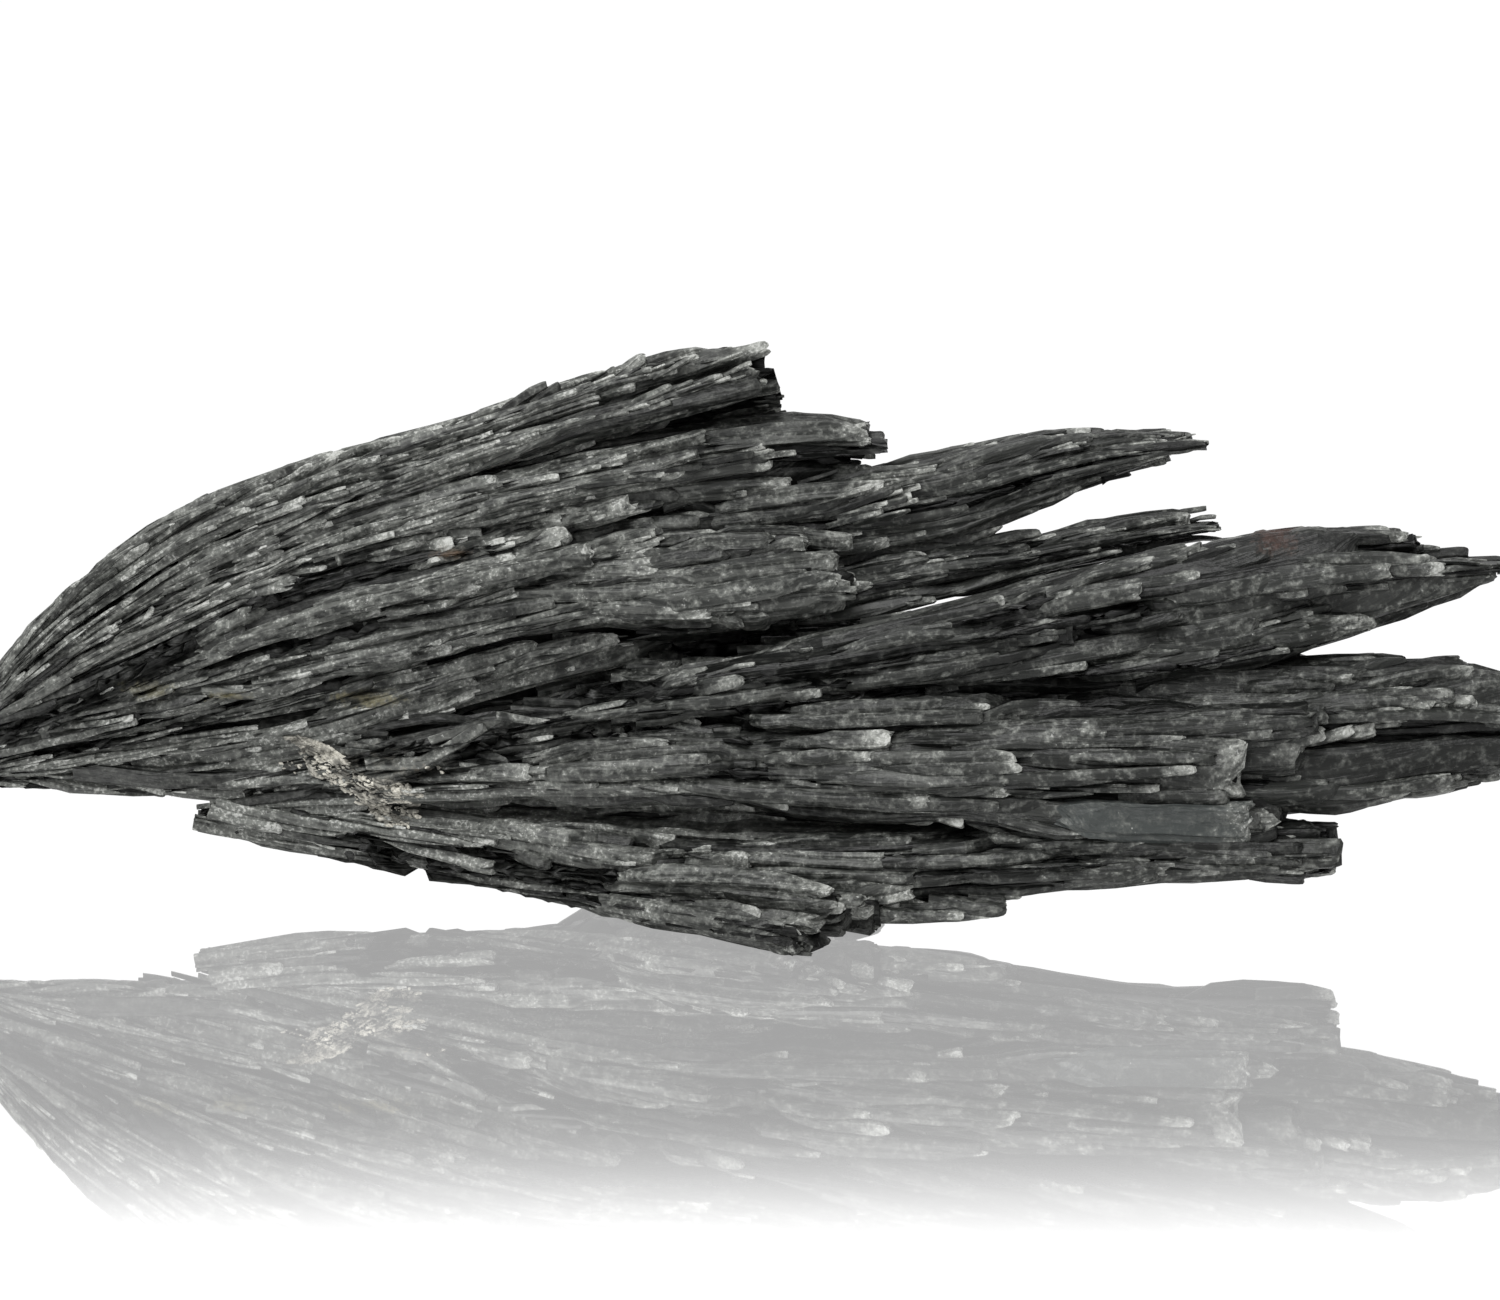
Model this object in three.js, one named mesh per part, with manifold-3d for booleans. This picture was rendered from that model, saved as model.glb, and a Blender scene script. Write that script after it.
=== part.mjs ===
// Black kyanite fan: one cluster of long flat crystals that grew from a shared root and spread like a fan.
// Millimetres, +Z up. The cluster rests on its lowest blades, on z = 0, with its broad face towards -Y,
// its root end at -X and its blade tips at +X. The origin is under the middle of the cluster.
import * as THREE from "three";
import { mergeVertices } from "three/addons/utils/BufferGeometryUtils.js";
import Module from "manifold-3d";

const wasm = await Module();
wasm.setup();

// Driving dimensions.
const FAN_LENGTH = 60; // root end to the longest tips
const FOOTPRINT_CENTRE = [-0.1, -0.4]; // middle of the cluster's outline from above, where the origin goes
const BLADE_OVERLAP = 1.3; // width of a blade over its share of the spray
const RIDGE_SHARE = 0.16; // how far the ridge along a blade stands out, as a share of its depth
const ROOT_TAPER = 0.8; // depth left at a blade's root end
const TIP_TAPER = 0.72; // width and depth left at a blade's broken tip
const STAGGER = 0.35; // how far neighbouring blades stand in front of and behind each other
const THINNEST_BLADE = 0.5; // a blade is never narrower than this at the crowded root

// A spray is a bundle of blades that leave one root together. Its first and last blades follow the curves
// through the points of `upper` and `lower`, given as [x, y, z]. `depth` is the bundle's thickness at the
// root, the middle and the tips. Each entry of `reach` is one blade, from the upper to the lower curve, and
// gives how far along the curves it runs before it is broken off.
const SPRAYS = {
  crown: {
    upper: [
      [-29.8, 3.5, 6.5], [-27.2, 3.5, 9.9], [-21.8, 3.5, 14], [-16.8, 3.5, 15.6],
      [-11.5, 3.5, 16.8], [-4.4, 3.5, 19.7], [-2, 3.5, 20.3], [-0.2, 3.5, 19.8],
    ],
    lower: [[-29.8, 3.5, 5.7], [-23.7, 3, 9.6], [-17, 2.5, 13], [-8.9, 2.5, 15.9], [1, 2.5, 18.9]],
    depth: [3.5, 6, 4.5],
    reach: [0.97, 1, 0.95, 1],
  },
  brow: {
    upper: [
      [-29.8, 3.5, 6.1], [-23.7, 3, 10.2], [-17, 2.5, 13.4],
      [-8.9, 2.5, 16.3], [1.5, 2.5, 18], [4.9, 2.5, 17.5],
    ],
    lower: [
      [-29.8, 3.5, 5.4], [-23.7, 3, 8.6], [-17, 2.5, 12.2],
      [-8.9, 2.5, 14], [0, 2.5, 15.3], [4.9, 2.5, 15.9],
    ],
    depth: [3.5, 6.5, 4],
    reach: [0.98, 1, 0.97, 0.9],
  },
  shoulder: {
    upper: [
      [-29.8, 3.5, 5.6], [-23.7, 2.5, 8.8], [-17, 2, 12.6],
      [-8.9, 2, 14.3], [0, 2, 15.6], [4.5, 2, 15.6],
    ],
    lower: [
      [-29.8, 3.5, 4.8], [-22.6, 2.5, 6.9], [-15.2, 2, 8.6],
      [-8.1, 2, 10.5], [0, 2, 11.1], [4, 2, 11.3],
    ],
    depth: [3.5, 7, 3.5],
    reach: [0.9, 1, 0.96, 0.98],
  },
  flank: {
    upper: [[-29.8, 3.5, 5.1], [-22.6, 2.8, 7.2], [-15.2, 2.5, 8.9], [-8.1, 2.5, 10.7], [0, 2.5, 11]],
    lower: [
      [-29.8, 4, 4.5], [-21.9, 3.8, 4.3], [-17.6, 3, 4.7],
      [-12.2, 2.5, 6.1], [-6.3, 2, 7.3], [0, 2, 8.6],
    ],
    depth: [3.5, 6.6, 4],
    reach: [1, 0.95, 1, 0.97],
  },
  highFinger: {
    upper: [
      [-11.5, 2.5, 13.1], [-2.2, 2.2, 15], [2, 2.1, 15.8], [5, 2, 16.1], [9, 1.7, 17],
      [13, 1.4, 17.6], [15.7, 1.2, 17.6], [16.9, 1, 17.4],
    ],
    lower: [
      [-11.5, 2.5, 11.9], [-2.2, 2.2, 12.4], [7.6, 1.8, 13.5],
      [9.2, 1.7, 14.3], [11.6, 1.5, 15.4], [16.7, 1, 17.1],
    ],
    depth: [4, 3.6, 1.8],
    reach: [0.97, 1, 0.94],
  },
  lowFinger: {
    upper: [
      [-9.6, 2, 10.7], [0, 1.8, 12.3], [7.6, 1.3, 13.3], [9, 1.2, 13.3],
      [12.2, 0.9, 14.1], [16.1, 0.6, 14.7], [17.4, 0.5, 14.5],
    ],
    lower: [
      [-9.6, 2, 9.4], [0, 1.8, 10], [5.6, 1.3, 11.2],
      [9, 1, 12], [13.2, 0.8, 12.9], [17, 0.5, 13.9],
    ],
    depth: [4, 3.2, 1.6],
    reach: [0.95, 1, 0.96],
  },
  knuckle: {
    upper: [[-11.5, 1.5, 12.2], [-4.4, 0, 13.5], [1.5, -0.8, 14.2], [3.5, -0.8, 13.7]],
    lower: [[-11.5, 1.5, 10.8], [-4.4, 0, 10.7], [1.5, -0.8, 11], [3.7, -0.8, 11.6]],
    depth: [2.5, 3, 2.2],
    reach: [0.88, 1],
  },
  rightTop: {
    upper: [
      [-19.4, 2, 4.3], [-12.2, 0, 6.7], [-6.3, -1, 8.2], [4.1, -2, 10.7], [8.9, -2.4, 12.1],
      [10.7, -2.5, 12.8], [15.9, -3, 14.1], [20, -3.5, 14.9], [24.6, -4, 14.8], [28.9, -4.5, 14.2],
    ],
    lower: [
      [-19.4, 2, 3.7], [-12.2, 0, 6], [-4.4, -1.5, 7.4], [8.9, -2.5, 8.6],
      [16.3, -3.5, 9.4], [21.7, -4, 10.7], [29, -4.5, 13.4],
    ],
    depth: [3.5, 4.6, 2.6],
    reach: [0.91, 1, 0.97, 0.87],
  },
  rightMiddle: {
    upper: [
      [-19.4, 2, 3.8], [-12.2, 0, 6.1], [-4.4, -1.5, 7.5], [5.2, -2.5, 8.6],
      [16.3, -3.5, 9.5], [25.7, -4.5, 10.2], [29.8, -5, 9.2],
    ],
    lower: [
      [-19.4, 2, 3.5], [-12.2, 0, 5.1], [-4.4, -2, 6.1], [5.2, -3, 5.9],
      [12.6, -4, 4.7], [19.6, -5, 4.7], [29.8, -5, 6.4],
    ],
    depth: [3, 4.6, 3],
    reach: [0.93, 1, 0.98, 0.96],
  },
  frontGrey: {
    upper: [[-19.8, 2, 3.7], [-12.2, 0, 5.1], [-4.4, -2.5, 6.5], [5.2, -4, 7.5], [20.7, -6.3, 8.9]],
    lower: [[-19.8, 2, 3.3], [-12.2, -0.5, 4], [-4.4, -3, 4.6], [5.2, -5, 4.2], [19.3, -6.8, 3.5]],
    depth: [2.5, 3.6, 2.6],
    reach: [1, 0.95, 0.99],
  },
  lowBlock: {
    upper: [[-20.4, 2, 3.4], [-12.2, 0, 3.7], [-4.4, -3, 3.6], [5.2, -4.6, 3.7], [21.5, -6.4, 4.4]],
    lower: [
      [-20.4, 2, 3], [-12.2, 0.5, 2.5], [-4.4, -2, 1.4], [4.5, -4, 0.7],
      [8.9, -5, 1.1], [13.7, -5.5, 1.7], [21, -6.6, 1.7],
    ],
    depth: [2.5, 4.4, 3.4],
    reach: [0.99, 1, 1, 0.72],
  },
  frontFoot: {
    upper: [[-21.1, 2, 3.2], [-12.2, 0, 3], [-4.4, -3, 2.3], [5.2, -6, 1.6]],
    lower: [
      [-21, 2, 2.4], [-16.7, 1.6, 1.8], [-12.2, 1, 1.6],
      [-6.9, -2.2, 0.2], [-2.2, -6.3, -0.3], [1.4, -9.6, -0.3],
    ],
    depth: [2, 3.6, 2.8],
    reach: [1, 0.98, 0.97, 1],
  },
  innerWing: {
    upper: [[-14, 1.5, 8], [4, 0.6, 9.4], [17, -0.6, 9.6]],
    lower: [[-14, 2, 5.4], [4, 1.4, 5.2], [15, 0.2, 6]],
    depth: [3, 4.5, 3],
    reach: [0.95, 1, 0.9],
  },
  backHigh: {
    upper: [[-22, 5, 10], [-8, 5.8, 14], [4.2, 4.8, 14.4]],
    lower: [[-21, 5, 7.6], [-6, 6, 10.4], [4.6, 5.4, 10]],
    depth: [2.5, 4.4, 3],
    reach: [0.93, 1, 0.9],
  },
  backWing: {
    upper: [[-20, 5, 7.6], [0, 5.8, 9.2], [15, 2.6, 8.8]],
    lower: [[-18.5, 5, 4.8], [1, 5.8, 5.2], [13.5, 2.8, 5.4]],
    depth: [3, 5, 3],
    reach: [0.9, 1, 0.94],
  },
  backFoot: {
    upper: [[-16, 5, 6.4], [-5, 6.6, 5.2], [5.4, 7, 2.6]],
    lower: [[-16, 5, 5], [-8, 6.2, 3], [-2, 7.6, -1.4]],
    depth: [2.5, 4.4, 3.4],
    reach: [1, 0.98, 1, 1],
  },
};

// The curve through a row of [x, y, z] points.
function edgeCurve(points) {
  return new THREE.CatmullRomCurve3(points.map((point) => new THREE.Vector3(...point)), false, "centripetal");
}

// The value at t of a run that goes from a to b in its first half and from b to c in its second.
function threeStage([a, b, c], t) {
  return t < 0.5 ? THREE.MathUtils.lerp(a, b, 2 * t) : THREE.MathUtils.lerp(b, c, 2 * t - 1);
}

// One blade: six-sided sections along its centre line, with a ridge on its front and its back.
function bladeGeometry(sections) {
  const sides = 6;
  const positions = [];
  for (const { centre, across, outward, halfWidth, halfDepth } of sections) {
    const shoulder = halfDepth * (1 - 2 * RIDGE_SHARE);
    const outline = [
      [halfWidth, -shoulder], [halfWidth, shoulder], [0, halfDepth],
      [-halfWidth, shoulder], [-halfWidth, -shoulder], [0, -halfDepth],
    ];
    for (const [a, b] of outline) {
      positions.push(...centre.clone().addScaledVector(across, a).addScaledVector(outward, b));
    }
  }
  const index = [];
  for (let row = 0; row < sections.length - 1; row += 1) {
    for (let side = 0; side < sides; side += 1) {
      const here = row * sides + side;
      const beside = row * sides + (side + 1) % sides;
      index.push(here, beside, here + sides, beside, beside + sides, here + sides);
    }
  }
  const last = (sections.length - 1) * sides;
  for (let side = 1; side < sides - 1; side += 1) {
    index.push(0, side + 1, side);
    index.push(last, last + side, last + side + 1);
  }
  const geometry = new THREE.BufferGeometry();
  geometry.setAttribute("position", new THREE.Float32BufferAttribute(positions, 3));
  geometry.setIndex(index);
  return geometry;
}

// The blades of one spray, as geometries.
function sprayBlades({ upper, lower, depth, reach }) {
  const upperCurve = edgeCurve(upper);
  const lowerCurve = edgeCurve(lower);
  const stations = Math.max(4, Math.min(7, upper.length));
  return reach.map((end, number) => {
    const share = (number + 0.5) / reach.length;
    const side = number % 2 === 0 ? -1 : 1;
    const sections = [];
    for (let station = 0; station < stations; station += 1) {
      const along = station / (stations - 1);
      const t = along * end;
      const high = upperCurve.getPointAt(t);
      const low = lowerCurve.getPointAt(t);
      const tangent = upperCurve.getTangentAt(t).lerp(lowerCurve.getTangentAt(t), share).normalize();
      const spread = high.clone().sub(low);
      const outward = new THREE.Vector3().crossVectors(tangent, spread).normalize();
      const across = new THREE.Vector3().crossVectors(outward, tangent);
      const taper = along === 1 ? TIP_TAPER : 1;
      const thick = threeStage(depth, t) * (along === 0 ? ROOT_TAPER : 1) * taper;
      sections.push({
        centre: high.clone().lerp(low, share).addScaledVector(outward, side * STAGGER * along),
        across,
        outward,
        halfWidth: Math.max(THINNEST_BLADE, spread.length() / reach.length * BLADE_OVERLAP * taper) / 2,
        halfDepth: thick / 2,
      });
    }
    return bladeGeometry(sections);
  });
}

// A closed geometry as a manifold solid, and a manifold solid as a geometry with flat facets.
function toSolid(geometry) {
  const bare = geometry.clone();
  bare.deleteAttribute("normal");
  bare.deleteAttribute("uv");
  const merged = mergeVertices(bare);
  return new wasm.Manifold(new wasm.Mesh({
    numProp: 3,
    vertProperties: Float32Array.from(merged.attributes.position.array),
    triVerts: Uint32Array.from(merged.index.array),
  }));
}

function toGeometry(solid) {
  const mesh = solid.getMesh();
  const geometry = new THREE.BufferGeometry();
  geometry.setAttribute("position", new THREE.Float32BufferAttribute(mesh.vertProperties, 3));
  geometry.setIndex(new THREE.Uint32BufferAttribute(mesh.triVerts, 1));
  geometry.computeVertexNormals();
  return geometry;
}

// All the blades, grown into one solid.
let cluster = null;
for (const spray of Object.values(SPRAYS)) {
  for (const blade of sprayBlades(spray)) {
    const solid = toSolid(blade);
    cluster = cluster ? cluster.add(solid) : solid;
  }
}

// Spaces shut in between blades are solid rock: only the outermost shell is kept.
cluster = cluster.decompose().sort((a, b) => b.volume() - a.volume())[0];

// The surface it rests on wears the lowest blades flat.
const above = new THREE.BoxGeometry(2 * FAN_LENGTH, 2 * FAN_LENGTH, FAN_LENGTH);
above.translate(0, 0, FAN_LENGTH / 2);
cluster = cluster.intersect(toSolid(above));

const kyanite = new THREE.MeshStandardMaterial({
  name: "kyanite",
  color: 0x34363a,
  roughness: 0.5,
  metalness: 0,
  flatShading: true,
});

const fan = new THREE.Mesh(toGeometry(cluster), kyanite);
fan.name = "kyanite_fan";
fan.position.set(-FOOTPRINT_CENTRE[0], -FOOTPRINT_CENTRE[1], 0);

const group = new THREE.Group();
group.add(fan);

export default group;
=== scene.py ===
"""Black kyanite fan: fine bladed crystals over the spray layout of the CAD solid.

Lengths in the tables are millimetres in the fan's own layout, +Z up, broad face towards -Y, root at -X.
"""

import itertools
import math

import bmesh
import bpy
import numpy as np
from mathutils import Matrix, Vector
from mathutils.bvhtree import BVHTree


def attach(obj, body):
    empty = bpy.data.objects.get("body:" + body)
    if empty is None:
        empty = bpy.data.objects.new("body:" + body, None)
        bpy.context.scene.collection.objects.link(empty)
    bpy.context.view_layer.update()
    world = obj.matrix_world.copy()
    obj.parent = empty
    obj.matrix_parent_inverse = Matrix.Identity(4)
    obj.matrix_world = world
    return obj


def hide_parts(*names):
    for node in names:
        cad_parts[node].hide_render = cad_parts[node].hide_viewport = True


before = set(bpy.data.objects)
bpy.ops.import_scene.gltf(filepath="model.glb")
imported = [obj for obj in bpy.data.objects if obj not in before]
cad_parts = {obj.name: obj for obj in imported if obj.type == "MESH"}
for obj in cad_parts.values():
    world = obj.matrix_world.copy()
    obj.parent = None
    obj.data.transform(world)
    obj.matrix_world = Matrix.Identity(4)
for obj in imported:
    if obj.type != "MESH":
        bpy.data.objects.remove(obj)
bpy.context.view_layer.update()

MM = 0.001
NODE = "kyanite_fan"
FOOTPRINT_CENTRE = np.array([-0.1, -0.4, 0.0])  # where the frame's origin lies in the layout

# Lengths in millimetres, as in the tables.
OUTLINE_SHARE = 0.55  # how far along a spray its outline is measured, to spread the blades round it
SPLIT_STARTS = (-0.05, 0.85)  # shares along a spray between which its narrow gaps start
SPLIT_PLACES = (-0.95, 0.95)  # shares across it between which they lie
SPLIT_TURN = 0.25  # spread of how far they slant
SPLIT_TAPER = 0.8  # length over which they end
THIN_SPRAY = 0.9  # a spray with less half thickness than this has no gaps

BED_WIDTHS = (0.5, 1.4)  # narrowest and widest blade of the bed under the surface, halfway along a spray
BED_OVERLAP = 1.12  # width of a bed blade over its share of the section
BED_STEP = 1.1  # distance between the sections of a bed blade
BED_INSET = 0.5  # how far the first layer of the bed lies under the surface of a spray
BED_COVER = 0.35  # least depth of the middle of a bed blade under the CAD surface
BED_SPLIT = 0.5  # how far bed blades sink in a narrow gap, over how far the blades on top do
BED_ENDS = (0.96, 1)  # shares of a spray's reach between which they end
BED_HALF_DEPTHS = (0.28, 0.4)
BED_LIFT = 0.1  # spread of how far they stand off
LIFT_SHARE = 0.6  # share along the spray from which they do so in full
LAYER_STEP = 0.55  # how far each layer of the bed lies under the one above it
DEEP_STARTS = (0.5, 0.7)  # shares along a spray between which the blades of the deeper layers start
DEEP_SHARE = 0.8  # how far along a spray the outline of the deeper layers is measured

CORE_EDGE = 0.8  # longest edge of the inner body
CORE_PLACES = (-26, -20, 0, 6)  # places along the fan
CORE_INSETS = (0.5, 0.7, 0.7, 0.32)  # how far the dark inner body lies under the CAD surface there
CORE_ENDS = 0.8  # how much deeper it lies under the broken ends
CORE_ROUNDS = 5  # times that its long edges are halved
CORE_SINK = 1.15  # how deep it lies in the gaps of the broad face, over how deep the blades do

# The blades that show: number for each square millimetre of spray, width, half thickness, length (middle
# value and spread of its logarithm), depth of the blade's middle under the surface. FINE is the dense hair of
# the upper lobe, COARSE the broken laths of the lower sprays, FINGER the slimmer ones of the two fingers.
# shade: the depth over which a blade's tone is darkened as painted shade, and the least share of tone it
# keeps. bed: the range of tones of the bed blades, kept low as painted shade under the blades on top.
FINE = dict(
    slabs=dict(
        density=0.26, width=(0.45, 1.0), half_depth=(0.24, 0.4), length=(2.1, 0.45), inset=(0.3, 0.7),
    ),
    laths=dict(
        density=5.6, width=(0.12, 0.32), half_depth=(0.18, 0.3), length=(1.2, 0.5), inset=(-0.06, 0.4),
    ),
    gaps=dict(per_area=0.05, half_width=(0.1, 0.16), length=(2, 7), depth=(0.3, 0.6)),
    shade=(2.2, 0.4), bed=(0.1, 0.8),
)
COARSE = dict(
    slabs=dict(
        density=0.85, width=(0.38, 1.05), half_depth=(0.24, 0.42), length=(1.7, 0.5), inset=(-0.14, 0.75),
    ),
    laths=dict(
        density=2.1, width=(0.14, 0.42), half_depth=(0.15, 0.3), length=(1.0, 0.5), inset=(-0.14, 0.7),
    ),
    gaps=dict(per_area=0.25, half_width=(0.12, 0.26), length=(3, 12), depth=(0.5, 1.2)),
    shade=(1.1, 0.08), bed=(0, 0.5),
)
FINGER = dict(
    slabs=dict(
        density=0.9, width=(0.3, 0.75), half_depth=(0.2, 0.34), length=(1.7, 0.5), inset=(0.06, 0.75),
    ),
    laths=dict(
        density=2.8, width=(0.12, 0.36), half_depth=(0.14, 0.26), length=(1.0, 0.5), inset=(0, 0.6),
    ),
    gaps=dict(per_area=0.25, half_width=(0.12, 0.24), length=(3, 10), depth=(0.4, 0.9)),
    shade=(1.1, 0.08), bed=(0, 0.5),
)
GRAINS = {
    "lobe": FINE, "crown": FINE, "brow": FINE, "flank": FINE, "high_finger": FINGER, "low_finger": FINGER,
}  # the other sprays are coarse

# What the blade tree is told for each kind of blade; for the rest it has values of its own.
BED_SIZES = {"Sides": 12}
GREAT_SIZES = {"Sides": 18, "Chipping": 0.1, "Ridge Height": 0.4}
SLAB_SIZES = {"Sides": 14, "Chipping": 0.07, "Ridge Height": 0.32}
LATH_SIZES = {"Sides": 7, "Tip Raggedness": 0.5}

STRIP_WIDTH = 0.42  # width of one strip of a great blade
STRIP_STAGGER = (1.2, 0.45)  # spread of where the strips start and end, in length
STRIP_LEAST = 1.0  # shorter strips are left out
STRIP_SHARES = (0.58, 0.85)  # half width of a strip over its share of the width: neighbours overlap
STRIP_RISES = 2.0  # length over which a strip comes up out of the spray

BLADE_LEAST = 1.2  # the shortest of the other blades
BLADE_STARTS = (-0.06, 0.97)  # shares along a spray between which they start
BLADE_ENDS = (0.955, 1)  # shares of its reach between which the longest end
BLADE_DRIFT = 0.03  # spread of how far they lean across the spray
BLADE_CLIMB = (0.004, 0.02)  # how far they lean out of it: the middle value and its spread
BLADE_TURN = 0.22  # spread of their turn about their own length
BLADE_TONES = (0.1, 1)
BLADE_BROKEN = 1.1  # length of the crumbled stretch at their end
HOLD_START, HOLD_LENGTH, HOLD_MOST = 0.15, 0.35, 0.8  # how blades come to keep to the spray's direction
BLADE_COVER = 0.12  # least depth of their middles under the CAD surface
BLADE_STEP = 1.3  # distance between their sections
START_SINK, START_LENGTH = 0.45, 2.0  # how deep, and over what length, a blade starts under the others

PERIMETER = 4.4  # length of the line round a blade over half its width
BACKWARDS = np.array([0.0, 1.0, 0.0])
DUG_IN = -0.6  # bed blades whose middle lies lower than this would be under the ground and are left out
PROUD = 0.22  # a blade that rises this far out of its spray breaks off
CLEAR = 0.26  # a blade that rises this far out of the outline of the CAD solid breaks off
LAID_OVER = 0.75  # blades that stay deeper than this inside the CAD solid have others over them
BURIED = 1.3  # bed blades deeper than this inside the CAD solid can't be seen and are left out
ROOT_MARGIN = 0.15  # how far a spray reaches past its edge curves
LEAST_RADIUS = 0.1  # half thickness that a section keeps however deep it is asked for
SQUARENESS = 0.55  # 1 is a round spray section, 0 a square one
RUN_POINTS = 241  # samples kept of each edge curve
PATH_POINTS = 12  # places tested along a blade
CREVICE_POINTS = 60  # places on the line of a gap
CREVICE_REACH = 2.2  # how far behind its line a gap still sinks blades
FLOOR_GAP = 0.02  # the lowest blades are worn flat this far above the ground

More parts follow.
